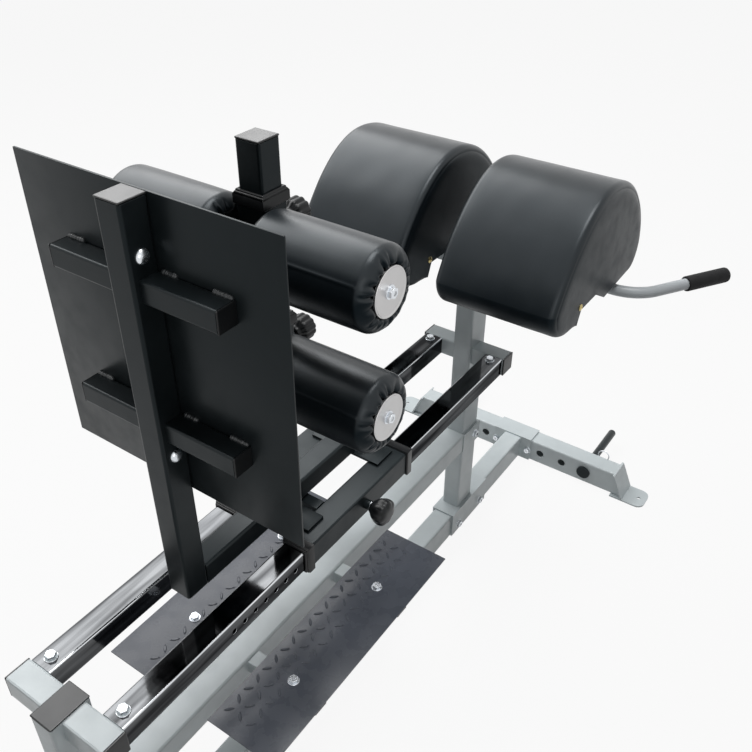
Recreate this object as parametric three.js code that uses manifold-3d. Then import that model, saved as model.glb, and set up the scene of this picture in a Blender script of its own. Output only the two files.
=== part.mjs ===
// Glute ham developer: a floor frame with two chrome rails, a carriage that slides on them with a
// foot plate and two pairs of ankle rollers, and two half-round thigh pads with handles at the front.
// Millimetres. X runs forward to the thigh pads, Y to the left, Z up. The origin is on the floor,
// under the middle of the whole outline. Stations along X are measured from the rear upright.
import * as THREE from 'three';
import { mergeVertices } from 'three/addons/utils/BufferGeometryUtils.js';
import Module from 'manifold-3d';

const wasm = await Module();
wasm.setup();

// Driving dimensions of the floor frame
const uprightSpan = 1341;
const uprightDepth = 80;
const uprightWidth = 52;
const baseTubeWidth = 60;
const baseTubeHeight = 80;
const midTubeWidth = 60;
const midTubeHeight = 60;
const midTubeTop = 374;
const frameWall = 3;
const frameCorner = 5;
const floorPlate = 5;
const frontFootOffset = 411;
const frontFootStation = uprightSpan + frontFootOffset;
const rearFootStation = -164;
const footTopLength = 714;
const footSlant = 37;
const footTabReach = 72;
const footTabWidth = 82;
const footTabTuck = 36;
const footTabCorner = 24;
const footTabHoleInset = 24;

// Driving dimensions of the rails and the members that hold their ends
const railSize = 50;
const railWall = 2.5;
const railCorner = 2.5;
const railSpacing = 181;
const railTop = 659.5;
const railHoleRadius = 5.5;
const railHolePitch = 29;
const railHolesBehindPin = 14;
const railHolesAheadOfPin = 4;
const crossTubeSize = 50;
const crossTubeLength = 236;
const crossTubeOffset = 6;
const tongueLength = 45;
const railBoltInset = 22;
const railBoltDepth = 17;

// Driving dimensions of the carriage
const carriageLength = 385;
const carriageStation = 680;
const sleeveSize = 58;
const sleeveWall = 2.5;
const collarSize = 66;
const collarLength = 26;
const collarEnd = 10;
const collarLip = 6;
const collarLipSize = 58;
const collarChamfer = 3;
const carriagePinStation = 692.5;
const crossPlateThickness = 6;
const rearPlateStation = 558.5;
const rearPlateWidth = 50;
const tieBarStation = 609.5;
const tieBarWidth = 26;
const tieBarHeight = 20;
const frontPlateStation = 805.5;
const frontPlateWidth = 58;
const spineSize = 50;
const columnWall = 3;
const columnCorner = 4;

// Driving dimensions of the foot plate and the two columns on the carriage
const footColumnStation = 295.5;
const rollerPostStation = 570.5;
const columnTop = 1441;
const footPlateWidth = 524;
const footPlateHeight = 536;
const footPlateThickness = 4;
const footPlateRise = 4;
const barSize = 38;
const barWall = 2.5;
const barCorner = 3;
const barReach = 168;
const upperBarDrop = 115;
const lowerBarDrop = 369;
const columnBoltDrops = [83, 441];

// Driving dimensions of the ankle rollers and their sleeves
const upperRollerDrop = 164;
const postHolePitch = 19.5;
const rollerSpacingHoles = 12;
const rollerRadius = 71;
const rollerInnerEnd = 40;
const rollerOuterEnd = 279;
const rollerPleats = 18;
const rollerPleatDepth = 4;
const rollerShoulder = 14;
const rollerShoulderRound = 5;
const rollerDish = 6;
const axleRadius = 12.5;
const axleBossRadius = 20;
const axleBossLength = 12;
const axleBoltDepth = 30;
const axleSaddleWidth = 50;
const axleSaddleHeight = 28;
const rollerEndGap = 0.6;
const endDiscRadius = 41.5;
const endDiscThickness = 3;
const endDiscChamfer = 0.8;
const rollerSleeveAbove = 73;
const rollerSleeveBelow = 81;
const pinAboveAxle = 9;
const upperHolesUp = 4;
const upperHolesDown = 2;
const lowerHolesUp = 1;
const lowerHolesDown = 5;

// Driving dimensions of the thigh pads, their board and plates, and the handles
const padOffset = -36.5;
const padStation = uprightSpan + padOffset;
const padLength = 504;
const padInnerFace = 48;
const padOuterFace = 338;
const padBottom = 907;
const padHeight = 283;
const padCrown = 9;
const padCrownInset = 12;
const padSeamInset = 3;
const padSeamShare = 0.4;
const padNotchHeight = 35;
const padNotchRear = 120;
const padNotchFront = 25;
const padNotchLean = 60;
const padNotchSlant = 14;
const padRearBelly = 78;
const padRearTuck = 90;
const padRearFullness = 0.87;
const padFrontBelly = 58;
const padFrontTuck = 39;
const padFrontFullness = 0.62;
const padArchSteps = 20;
const padCornerSteps = 4;
const padPlateThickness = 6;
const padPlateLength = 190;
const padPlateWidth = 190;
const padPlateOffset = 62;
const padBeamDepth = 50;
const padBeamHeight = 25;
const padBeamLength = 530;
const padBeamOffset = 15;
const handleTubeRadius = 14;
const handleTubeWall = 2.5;
const handleDrop = 21;
const handleOffset = 96;
const handleStation = uprightSpan + handleOffset;
const handleInnerEnd = 70;
const handleCornerOffset = 386;
const handleBendRadius = 110;
const handleBendSteps = 8;
const handleSides = 16;
const handleReach = 278;
const clampDepth = 50;
const clampWidth = 30;
const clampWall = 8;
const clampSpread = 130;
const handleSplay = 32;
const gripRadius = 19;
const gripLength = 128;
const gripEndWall = 5;
const gripRound = 6.3;
const gripRoundShare = 0.3;

// Driving dimensions of the step treads
const treadLength = 635;
const treadStation = 554;
const treadInner = 56;
const treadOuter = 224.6;
const treadThickness = 3;
const treadTop = 372;
const treadArmSize = 36;
const treadArmWall = 2.5;
const treadArmSpacing = 302;
const treadArmEnd = 208;
const treadBoltDepth = 12;

// Driving dimensions of the saddles, gussets, pegs and fasteners
const plateThickness = 5;
const saddleShort = 40;
const saddleLong = 84;
const saddleDrop = 78;
const saddleBoltInset = 38;
const saddleBoltRise = 25.6;
const footSaddleHalf = 67;
const footBoltOffset = 58;
const footHoleRadius = 13;
const footHolePitch = 78;
const footFirstHole = 102;
const footHoleCount = 3;
const pegRadius = 12.5;
const pegReach = 190;
const pegRound = 4;
const pegHeadRadius = 22;
const pegHeadThickness = 7;
const lockPinRadius = 2.5;
const lockPinLean = 45;
const lockPinNeck = 18;
const lockPinTail = 5;
const lockPinOffset = 13.5;
const lockRingRadius = 18;
const lockWireRadius = 1.6;
const spareHoleOffset = 43;
const midBoltInset = 17;
const drainRadius = 12;

const boltRadius = 5;
const boltHeadAcross = 17;
const boltHeadHeight = 7;
const washerRadius = 12;
const washerThickness = 2;
const capFlange = 4;
const capPlugDepth = 14;
const gap = 0.3;
const weld = 0.5;
const slideGap = 0.3;
const overrun = 20;
const pinNoseDepth = 10;
const pinTipChamfer = 1.25;
const pinRadius = 5;
const pinHousingRadius = 11;
const carriagePinHousingLength = 14;
const postPinHousingLength = 24;
const knobRadius = 26;
const carriageKnobRadius = 30;
const knobLength = 44;
const knobStandoff = 2;
const knobWaistShare = 0.6;
const knobFlareShare = 0.25;
const knobRimShare = 0.8;
const knobEndShare = 0.72;

const roundSides = 20;
const holeSides = 8;
const footHoleSides = 16;
const railHoleSides = 10;
const pinSides = 12;
const ringSides = 5;
const cornerSteps = 1;
const innerCornerLeast = 0.6;
const weldTolerance = 1e-3;

// Shape helpers

// A rectangle with rounded corners, centred on zero.
function roundedOutline(width, height, radius) {
  const x = width / 2;
  const y = height / 2;
  const outline = new THREE.Shape();
  if (radius <= 0) {
    outline.moveTo(-x, -y);
    outline.lineTo(x, -y);
    outline.lineTo(x, y);
    outline.lineTo(-x, y);
    return outline;
  }
  outline.absarc(x - radius, -y + radius, radius, -Math.PI / 2, 0, false);
  outline.absarc(x - radius, y - radius, radius, 0, Math.PI / 2, false);
  outline.absarc(-x + radius, y - radius, radius, Math.PI / 2, Math.PI, false);
  outline.absarc(-x + radius, -y + radius, radius, Math.PI, Math.PI * 1.5, false);
  return outline;
}

// Turns a solid drawn along +Z so that it lies along the named axis.
function aim(geometry, axis) {
  if (axis === 'x') {
    geometry.rotateZ(Math.PI / 2);
    geometry.rotateY(Math.PI / 2);
  }
  if (axis === 'y') {
    geometry.rotateX(-Math.PI / 2);
  }
  return geometry;
}

// The place of a point that lies along the named axis at the given station.
function placeOf(axis, along, a, b) {
  if (axis === 'x') return [along, a, b];
  if (axis === 'y') return [a, along, b];
  return [a, b, along];
}

// A square or rectangular tube from one station to another. Width and height are its section:
// on X they are Y and Z, on Y they are X and Z, on Z they are X and Y.
function boxTube({ axis, from, to, a, b, width, height, wall, corner }) {
  const outline = roundedOutline(width, height, corner);
  const innerCorner = Math.max(corner - wall, innerCornerLeast);
  outline.holes.push(roundedOutline(width - wall * 2, height - wall * 2, innerCorner));
  const tube = new THREE.ExtrudeGeometry(outline, {
    depth: to - from, bevelEnabled: false, curveSegments: cornerSteps,
  });
  aim(tube, axis);
  tube.translate(...placeOf(axis, from, a, b));
  return tube;
}

function block(x0, x1, y0, y1, z0, z1) {
  const solid = new THREE.BoxGeometry(x1 - x0, y1 - y0, z1 - z0);
  solid.translate((x0 + x1) / 2, (y0 + y1) / 2, (z0 + z1) / 2);
  return solid;
}

// A round bar between two stations on an axis, at the given place on the two other axes.
function rod(axis, from, to, a, b, radius, sides = roundSides) {
  const bar = new THREE.CylinderGeometry(radius, radius, to - from, sides);
  bar.rotateX(Math.PI / 2);
  bar.translate(0, 0, (to - from) / 2);
  aim(bar, axis);
  bar.translate(...placeOf(axis, from, a, b));
  return bar;
}

// A solid of revolution about Y that is turned to lie on an axis and moved to its place.
function turned(points, axis, place, sides = roundSides) {
  const profile = points.map(([radius, along]) => new THREE.Vector2(radius, along));
  const lathe = new THREE.LatheGeometry(profile, sides);
  lathe.rotateX(Math.PI / 2);
  aim(lathe, axis);
  lathe.translate(...place);
  return lathe;
}

function toSolid(geometry) {
  const bare = geometry.index ? geometry.toNonIndexed() : geometry.clone();
  bare.deleteAttribute('normal');
  bare.deleteAttribute('uv');
  const welded = mergeVertices(bare, weldTolerance);
  return new wasm.Manifold(new wasm.Mesh({
    numProp: 3,
    vertProperties: new Float32Array(welded.attributes.position.array),
    triVerts: new Uint32Array(welded.index.array),
  }));
}

function fromSolid(solid) {
  const mesh = solid.getMesh();
  const geometry = new THREE.BufferGeometry();
  const points = new Float32Array(mesh.numVert * 3);
  for (let i = 0; i < mesh.numVert; i += 1) {
    for (let k = 0; k < 3; k += 1) points[i * 3 + k] = mesh.vertProperties[i * mesh.numProp + k];
  }
  geometry.setAttribute('position', new THREE.BufferAttribute(points, 3));
  geometry.setIndex(new THREE.BufferAttribute(new Uint32Array(mesh.triVerts), 1));
  geometry.computeVertexNormals();
  return geometry;
}

function joined(...geometries) {
  return fromSolid(geometries.map(toSolid).reduce((all, next) => all.add(next)));
}

function cut(geometry, ...tools) {
  const whole = toSolid(geometry);
  return fromSolid(tools.map(toSolid).reduce((left, tool) => left.subtract(tool), whole));
}

// Finishes

function finish(color, roughness, metalness) {
  return { color, roughness, metalness };
}

const greyPaint = finish(0xc9d0d3, 0.35, 0.2);
const blackPaint = finish(0x23282a, 0.4, 0.1);
const chrome = finish(0xd8dadc, 0.08, 1);
const zinc = finish(0xc4ccd0, 0.3, 1);
const blackPlastic = finish(0x111312, 0.5, 0);
const vinyl = finish(0x1a1c1e, 0.35, 0);
const foamRubber = finish(0x191a1a, 0.8, 0);
const treadPaint = finish(0x3a3f45, 0.4, 0.3);

const machine = new THREE.Group();
const pieces = new THREE.Group();
machine.add(pieces);

function add(name, geometry, look) {
  const mesh = new THREE.Mesh(geometry, new THREE.MeshStandardMaterial(look));
  mesh.name = name;
  pieces.add(mesh);
  return mesh;
}

// Fasteners

// A hexagon head bolt. Its washer starts at the seat and its shank ends at the tip.
function hexBolt(axis, seat, tip, a, b) {
  const direction = Math.sign(seat - tip);
  const headRadius = boltHeadAcross / Math.sqrt(3);
  const headBase = seat + direction * washerThickness;
  const headTop = headBase + direction * boltHeadHeight;
  const barBetween = (p, q, radius, sides) => rod(
    axis, Math.min(p, q), Math.max(p, q), a, b, radius, sides,
  );
  return joined(
    barBetween(seat, headBase, washerRadius, holeSides),
    barBetween(seat, headTop, headRadius, 6),
    barBetween(tip, headBase, boltRadius, holeSides),
  );
}

// The hole that such a bolt passes through.
function boltHole(axis, from, to, a, b) {
  return rod(axis, Math.min(from, to), Math.max(from, to), a, b, boltRadius + gap, holeSides);
}

// A plastic plug for the end of a square tube: a flange that covers the end and a plug inside it.
function endCap(axis, end, direction, a, b, size, wall, corner) {
  const flangeStart = end + direction * gap;
  const flangeEnd = flangeStart + direction * capFlange;
  const plugEnd = end - direction * capPlugDepth;
  const inner = size - wall * 2 - gap * 2;
  const slab = (outline, p, q) => {
    const solid = new THREE.ExtrudeGeometry(outline, {
      depth: Math.abs(q - p), bevelEnabled: false, curveSegments: cornerSteps,
    });
    aim(solid, axis);
    solid.translate(...placeOf(axis, Math.min(p, q), a, b));
    return solid;
  };
  const flange = slab(roundedOutline(size, size, corner), flangeStart, flangeEnd);
  const innerCorner = Math.max(corner - wall, innerCornerLeast);
  const plug = slab(roundedOutline(inner, inner, innerCorner), plugEnd, flangeStart);
  return joined(flange, plug);
}

// A collar that caps the end of a sleeve and guides the tube inside it. The sleeve's end is at the
// end station and the collar reaches past it by its end wall, whose outer part is a narrower lip.
function guideCollar(axis, end, direction, a, b) {
  const outer = end + direction * (collarEnd + gap);
  const back = outer - direction * collarLength;
  const shoulder = outer - direction * collarLip;
  const wallStart = end + direction * gap;
  const bore = railSize + slideGap * 2;
  const pocket = sleeveSize + gap * 2;
  const slab = (size, corner, p, q) => {
    const solid = new THREE.ExtrudeGeometry(roundedOutline(size, size, corner), {
      depth: Math.abs(q - p), bevelEnabled: false, curveSegments: cornerSteps,
    });
    aim(solid, axis);
    solid.translate(...placeOf(axis, Math.min(p, q), a, b));
    return solid;
  };
  const body = new THREE.ExtrudeGeometry(
    roundedOutline(collarSize - collarChamfer * 2, collarSize - collarChamfer * 2, collarChamfer),
    {
      depth: collarLength - collarLip - collarChamfer * 2,
      bevelEnabled: true,
      bevelThickness: collarChamfer,
      bevelSize: collarChamfer,
      bevelSegments: 1,
      curveSegments: cornerSteps,
    },
  );
  body.translate(0, 0, collarChamfer);
  aim(body, axis);
  body.translate(...placeOf(axis, Math.min(back, shoulder), a, b));
  const lip = slab(collarLipSize, railCorner, shoulder - direction * weld, outer);
  const tunnel = slab(bore, railCorner, back - direction * overrun, outer + direction * overrun);
  const socket = slab(pocket, railCorner, back - direction * overrun, wallStart);
  return cut(joined(body, lip), tunnel, socket);
}

// A pull pin: its housing is welded to the sleeve's face, and the knob and pin slide in it.
function pinHousing(axis, face, direction, a, b, length) {
  const start = face - direction * gap;
  const end = face + direction * length;
  const barrel = rod(axis, Math.min(start, end), Math.max(start, end), a, b, pinHousingRadius);
  const bore = rod(axis, Math.min(start, end) - overrun, Math.max(start, end) + overrun, a, b,
    pinRadius + gap, pinSides);
  return cut(barrel, bore);
}

function pullPin(axis, face, direction, a, b, housingLength, radius) {
  const housingEnd = face + direction * housingLength;
  const knobStart = housingEnd + direction * knobStandoff;
  const nose = face - direction * pinNoseDepth;
  const reach = Math.abs(knobStart - nose);
  const points = [
    [0, 0],
    [pinRadius - pinTipChamfer, 0],
    [pinRadius, pinTipChamfer],
    [pinRadius, reach],
    [radius * knobWaistShare, reach],
    [radius, reach + knobLength * knobFlareShare],
    [radius, reach + knobLength * knobRimShare],
    [radius * knobEndShare, reach + knobLength],
    [0, reach + knobLength],
  ];
  const pin = turned(points, 'z', [0, 0, 0], pinSides);
  if (direction < 0) pin.rotateX(Math.PI);
  aim(pin, axis);
  pin.translate(...placeOf(axis, nose, a, b));
  return pin;
}

// Floor frame

const rearUprightFront = uprightDepth / 2;
const frontUprightRear = uprightSpan - uprightDepth / 2;
const frontUprightFront = uprightSpan + uprightDepth / 2;
const baseBottom = floorPlate;
const baseTop = baseBottom + baseTubeHeight;
const baseMiddle = (baseBottom + baseTop) / 2;
const footDepth = baseTubeWidth;
const frontFootRear = frontFootStation - footDepth / 2;
const frontFootFront = frontFootStation + footDepth / 2;
const rearFootFront = rearFootStation + footDepth / 2;
const rearFootRear = rearFootStation - footDepth / 2;
const uprightFoot = baseTop + plateThickness;
const railMiddle = railTop - railSize / 2;
const padBeamTop = padBottom - padPlateThickness;
const padBeamBottom = padBeamTop - padBeamHeight;
const handleHeight = padBeamTop - handleDrop;

const baseTubeRear = rearFootFront + plateThickness;
const baseTubeFront = frontFootRear - plateThickness;
const saddleBolts = [
  { station: 0, rear: -saddleLong, front: saddleShort },
  { station: uprightSpan, rear: -saddleShort, front: saddleLong },
].map(({ station, rear, front }) => {
  const start = station - uprightDepth / 2;
  const stop = station + uprightDepth / 2;
  return { from: start + rear, to: stop + front };
});
const saddleBoltHeight = baseBottom + saddleBoltRise;

function saddleBoltStations({ from, to }) {
  return [from + saddleBoltInset, to - saddleBoltInset];
}

const baseSide = baseTubeWidth / 2;
const saddleHalf = baseSide + gap + plateThickness;
const baseHoles = saddleBolts.flatMap((saddle) => saddleBoltStations(saddle).map((x) => boltHole(
  'y', -baseSide - overrun, baseSide + overrun, x, saddleBoltHeight,
)));
add('base_tube', cut(boxTube({
  axis: 'x', from: baseTubeRear, to: baseTubeFront, a: 0, b: baseMiddle,
  width: baseTubeWidth, height: baseTubeHeight, wall: frameWall, corner: frameCorner,
}), ...baseHoles), greyPaint);

// A foot is a tube across the machine whose ends are cut on a slant.
function footOutline(topHalf, slant, low, high) {
  const outline = new THREE.Shape();
  outline.moveTo(-topHalf - slant, low);
  outline.lineTo(topHalf + slant, low);
  outline.lineTo(topHalf, high);
  outline.lineTo(-topHalf, high);
  return outline;
}

const footTopHalf = footTopLength / 2;
const footBottomHalf = footTopHalf + footSlant;

function crossFoot(station, holes) {
  const long = boxTube({
    axis: 'y', from: -footBottomHalf, to: footBottomHalf, a: station, b: baseMiddle,
    width: footDepth, height: baseTubeHeight, wall: frameWall, corner: frameCorner,
  });
  const keep = new THREE.ExtrudeGeometry(footOutline(footTopHalf, footSlant, baseBottom, baseTop), {
    depth: footDepth + overrun * 2, bevelEnabled: false,
  });
  keep.rotateX(Math.PI / 2);
  keep.rotateZ(Math.PI / 2);
  keep.translate(station - footDepth / 2 - overrun, 0, 0);
  const trimmed = fromSolid(toSolid(long).intersect(toSolid(keep)));
  return joined(cut(trimmed, ...holes), footEndBracket(station, 1), footEndBracket(station, -1));
}

// A bent plate closes the slanted end of a foot and carries on as a tab on the floor.
function footEndBracket(station, side) {
  const slope = footSlant / baseTubeHeight;
  const outline = new THREE.Shape();
  const inner = footBottomHalf;
  const tuck = inner - footTabTuck;
  const outer = inner + footTabReach;
  const lean = plateThickness * Math.hypot(1, slope);
  outline.moveTo(tuck, 0);
  outline.lineTo(outer, 0);
  outline.lineTo(outer, floorPlate);
  outline.lineTo(inner - weld + lean, floorPlate);
  outline.lineTo(footTopHalf - weld + lean, baseTop);
  outline.lineTo(footTopHalf - weld, baseTop);
  outline.lineTo(inner - weld, floorPlate + weld);
  outline.lineTo(tuck, floorPlate + weld);
  const bracket = new THREE.ExtrudeGeometry(outline, { depth: footTabWidth, bevelEnabled: false });
  bracket.rotateX(Math.PI / 2);
  bracket.rotateZ(Math.PI / 2);
  bracket.translate(-footTabWidth / 2, 0, 0);
  const plan = roundedOutline(footTabWidth, (outer - tuck) * 2, footTabCorner);
  const keep = new THREE.ExtrudeGeometry(plan, {
    depth: baseTop + overrun * 2, bevelEnabled: false, curveSegments: cornerSteps * 2,
  });
  keep.translate(0, tuck, -overrun);
  const hole = rod('z', -overrun, floorPlate + overrun, 0, outer - footTabHoleInset,
    boltRadius + gap, holeSides);
  const shaped = fromSolid(toSolid(bracket).intersect(toSolid(keep)).subtract(toSolid(hole)));
  if (side < 0) shaped.rotateZ(Math.PI);
  shaped.translate(station, 0, 0);
  return shaped;
}

const footHoleOffsets = [];
for (let i = 0; i < footHoleCount; i += 1) {
  footHoleOffsets.push(footFirstHole + footHolePitch * i);
}
const bothSides = [1, -1];
const pegOffset = footHoleOffsets[footHoleOffsets.length - 1];
const frontFootHoles = footHoleOffsets.flatMap((offset) => bothSides.map((side) => rod(
  'x', frontFootRear - overrun, frontFootFront + overrun, side * offset, baseMiddle, footHoleRadius,
  footHoleSides,
)));
const frontFootBoltHoles = bothSides.map((side) => boltHole(
  'x', frontFootRear - overrun, frontFootStation, side * footBoltOffset, baseMiddle,
));
const rearFootBoltHoles = bothSides.map((side) => boltHole(
  'x', rearFootFront + overrun, rearFootStation, side * footBoltOffset, baseMiddle,
));
add('front_foot', crossFoot(frontFootStation, [...frontFootHoles, ...frontFootBoltHoles]), greyPaint);
add('rear_foot', crossFoot(rearFootStation, rearFootBoltHoles), greyPaint);

// The plate that joins the base tube to a foot: a face plate with a lip over the foot.
function footSaddle(face, direction) {
  const back = face - direction * plateThickness;
  const lipEnd = face + direction * footDepth;
  const low = Math.min(face, back);
  const high = Math.max(face, back);
  const top = baseTop + plateThickness;
  const plate = block(low, high, -footSaddleHalf, footSaddleHalf, baseBottom, top);
  const lip = block(Math.min(face, lipEnd), Math.max(face, lipEnd), -footSaddleHalf, footSaddleHalf,
    baseTop + gap, top);
  const bolts = bothSides.map((side) => hexBolt('x', back, face + direction * footDepth / 2,
    side * footBoltOffset, baseMiddle));
  return joined(plate, lip, ...bolts);
}
add('front_foot_saddle', footSaddle(frontFootRear, 1), greyPaint);
add('rear_foot_saddle', footSaddle(rearFootFront, -1), greyPaint);

// Uprights with the U saddles at their feet

// A bolt right through, with a head on one side and a nut on the other
function throughBolt(axis, low, high, a, b) {
  const middle = (low + high) / 2;
  return joined(hexBolt(axis, high, middle - weld, a, b), hexBolt(axis, low, middle + weld, a, b));
}

function uprightSaddle({ from, to }) {
  const low = baseTop - saddleDrop;
  const channel = cut(
    block(from, to, -saddleHalf, saddleHalf, low, uprightFoot),
    block(from - overrun, to + overrun, -baseSide - gap, baseSide + gap, low - overrun, baseTop),
  );
  return joined(channel, ...saddleBoltStations({ from, to }).map((x) => throughBolt(
    'y', -saddleHalf, saddleHalf, x, saddleBoltHeight,
  )));
}

const uprightHalf = uprightWidth / 2;
const midBottom = midTubeTop - midTubeHeight;
const midMiddle = (midTubeTop + midBottom) / 2;
const midBoltStations = [-midBoltInset, uprightSpan + midBoltInset];
const midBoltHoles = midBoltStations.map((x) => boltHole(
  'y', -midTubeWidth, midTubeWidth, x, midMiddle,
));

function upright(station, top, saddle) {
  return joined(cut(boxTube({
    axis: 'z', from: uprightFoot - weld, to: top, a: station, b: 0,
    width: uprightDepth, height: uprightWidth, wall: frameWall, corner: frameCorner,
  }), ...midBoltHoles), uprightSaddle(saddle));
}
const rearUprightTop = railTop;
add('rear_upright', upright(0, rearUprightTop, saddleBolts[0]), greyPaint);

// A lid closes the front upright and carries the beam of the pads.
const frontUprightTop = padBeamBottom - plateThickness;
const frontUprightLid = block(frontUprightRear, frontUprightFront, -uprightHalf, uprightHalf,
  frontUprightTop - weld, padBeamBottom);
add('front_upright', joined(
  upright(uprightSpan, frontUprightTop, saddleBolts[1]),
  frontUprightLid,
), greyPaint);

// A cap for a tube whose two sides differ: a flange over the end and a plug inside it.
const uprightCapPlug = new THREE.ExtrudeGeometry(
  roundedOutline(uprightDepth - (frameWall + gap) * 2, uprightWidth - (frameWall + gap) * 2,
    frameCorner - frameWall),
  { depth: capPlugDepth + gap, bevelEnabled: false, curveSegments: cornerSteps },
);
uprightCapPlug.translate(0, 0, rearUprightTop - capPlugDepth);
const uprightCapFlange = new THREE.ExtrudeGeometry(
  roundedOutline(uprightDepth, uprightWidth, frameCorner),
  { depth: capFlange, bevelEnabled: false, curveSegments: cornerSteps },
);
uprightCapFlange.translate(0, 0, rearUprightTop + gap);
add('rear_upright_cap', joined(uprightCapPlug, uprightCapFlange), blackPlastic);

// The tube between the uprights, with a bracket on each end and two arms a side for the treads
const midTubeRear = rearUprightFront + plateThickness - weld;
const midTubeFront = frontUprightRear - plateThickness + weld;
const midCheek = midTubeWidth / 2 + plateThickness / 2;

// A bracket is a web with two cheeks that embrace the upright.
function midBracket(station, direction) {
  const web = station - direction * (uprightDepth / 2 + plateThickness);
  const face = station - direction * (uprightDepth / 2 + gap);
  const end = station + direction * (uprightDepth / 2 + plateThickness);
  const beyond = end + direction * overrun;
  const solid = block(Math.min(web, end), Math.max(web, end), -midCheek, midCheek, midBottom,
    midTubeTop);
  const space = block(Math.min(face, beyond), Math.max(face, beyond), -uprightHalf - gap,
    uprightHalf + gap, midBottom - overrun, midTubeTop + overrun);
  return joined(cut(solid, space), throughBolt('y', -midCheek, midCheek,
    station + direction * midBoltInset, midMiddle));
}

// A hole in each web lets the inside of the tube drain.
function drainHole(station, direction) {
  const face = station - direction * uprightDepth / 2;
  return rod('x', face - overrun / 2, face + overrun / 2, 0, midMiddle, drainRadius, holeSides);
}

const treadUnder = treadTop - treadThickness;
const treadArmMiddle = treadUnder - treadArmSize / 2;
const treadArmStations = [treadStation - treadArmSpacing / 2, treadStation + treadArmSpacing / 2];
const treadMiddle = (treadInner + treadOuter) / 2;
function treadArm(station, side) {
  const inner = midTubeWidth / 2 - weld;
  const arm = boxTube({
    axis: 'y', from: side > 0 ? inner : -treadArmEnd, to: side > 0 ? treadArmEnd : -inner,
    a: station, b: treadArmMiddle,
    width: treadArmSize, height: treadArmSize, wall: treadArmWall, corner: treadArmWall,
  });
  return cut(arm, boltHole('z', treadArmMiddle, treadUnder + overrun, station, side * treadMiddle));
}
const midTube = boxTube({
  axis: 'x', from: midTubeRear, to: midTubeFront, a: 0, b: midMiddle,
  width: midTubeWidth, height: midTubeHeight, wall: frameWall, corner: frameCorner,
});
add('mid_tube', cut(joined(
  midTube,
  midBracket(0, -1),
  midBracket(uprightSpan, 1),
  ...treadArmStations.flatMap((x) => bothSides.map((side) => treadArm(x, side))),
), drainHole(0, -1), drainHole(uprightSpan, 1)), greyPaint);

// Cross members that hold the rails, with a tongue inside each rail end
const railOffset = railSpacing / 2;
const rearCrossStation = crossTubeOffset;
const frontCrossStation = uprightSpan - crossTubeOffset;
const railRear = rearCrossStation + crossTubeSize / 2;
const railFront = frontCrossStation - crossTubeSize / 2;
const tongueSize = railSize - railWall * 2 - gap * 2;
const railBoltStations = [railRear + railBoltInset, railFront - railBoltInset];

function crossMember(station, direction, side) {
  const from = side > 0 ? uprightHalf : -crossTubeLength / 2;
  const to = side > 0 ? crossTubeLength / 2 : -uprightHalf;
  const stub = boxTube({
    axis: 'y', from, to, a: station, b: railMiddle,
    width: crossTubeSize, height: crossTubeSize, wall: frameWall, corner: columnCorner,
  });
  const face = station + direction * crossTubeSize / 2;
  const root = face - direction * frameWall / 2;
  const tip = face + direction * tongueLength;
  const tongue = boxTube({
    axis: 'x', from: Math.min(root, tip), to: Math.max(root, tip), a: side * railOffset, b: railMiddle,
    width: tongueSize, height: tongueSize, wall: railWall, corner: railWall,
  });
  const bolt = hexBolt('z', railTop + gap, railTop - railBoltDepth, face + direction * railBoltInset,
    side * railOffset);
  return joined(stub, tongue, bolt);
}
for (const [hand, side] of [['left', 1], ['right', -1]]) {
  add(`rear_cross_member_${hand}`, crossMember(rearCrossStation, 1, side), greyPaint);
  add(`front_cross_member_${hand}`, crossMember(frontCrossStation, -1, side), greyPaint);
}

function rail(side) {
  return boxTube({
    axis: 'x', from: railRear, to: railFront, a: side * railOffset, b: railMiddle,
    width: railSize, height: railSize, wall: railWall, corner: railCorner,
  });
}
const railEndHoles = (side) => railBoltStations.map((x) => boltHole(
  'z', railMiddle, railTop + overrun, x, side * railOffset,
));
const adjustmentHoles = [];
for (let i = -railHolesBehindPin; i <= railHolesAheadOfPin; i += 1) {
  const outer = -railOffset - railSize / 2;
  adjustmentHoles.push(rod('y', outer - overrun, outer + overrun, carriagePinStation + railHolePitch * i,
    railMiddle, railHoleRadius, railHoleSides));
}
add('rail_left', cut(rail(1), ...railEndHoles(1)), chrome);
add('rail_right', cut(rail(-1), ...railEndHoles(-1), ...adjustmentHoles), chrome);

// Step treads, each bolted to two arms
for (const [hand, side] of [['left', 1], ['right', -1]]) {
  const plate = new THREE.ExtrudeGeometry(
    roundedOutline(treadLength, treadOuter - treadInner, frameCorner),
    { depth: treadThickness, bevelEnabled: false, curveSegments: cornerSteps },
  );
  plate.translate(treadStation, side * treadMiddle, treadUnder);
  add(`tread_${hand}`, joined(plate, ...treadArmStations.map((x) => hexBolt(
    'z', treadTop, treadUnder - treadBoltDepth, x, side * treadMiddle,
  ))), treadPaint);
}

// Pegs for bands in the outer holes of the front foot
const pegStart = frontFootRear;
const pegTip = frontFootFront + pegReach;
const lockStation = frontFootFront + lockPinOffset;
const lockLean = THREE.MathUtils.degToRad(lockPinLean);

// Leans a piece that stands on a peg's axis outward, about that axis.
function leaned(geometry, y) {
  geometry.translate(0, -y, -baseMiddle);
  geometry.rotateX(-Math.sign(y) * lockLean);
  geometry.translate(0, y, baseMiddle);
  return geometry;
}

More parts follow.
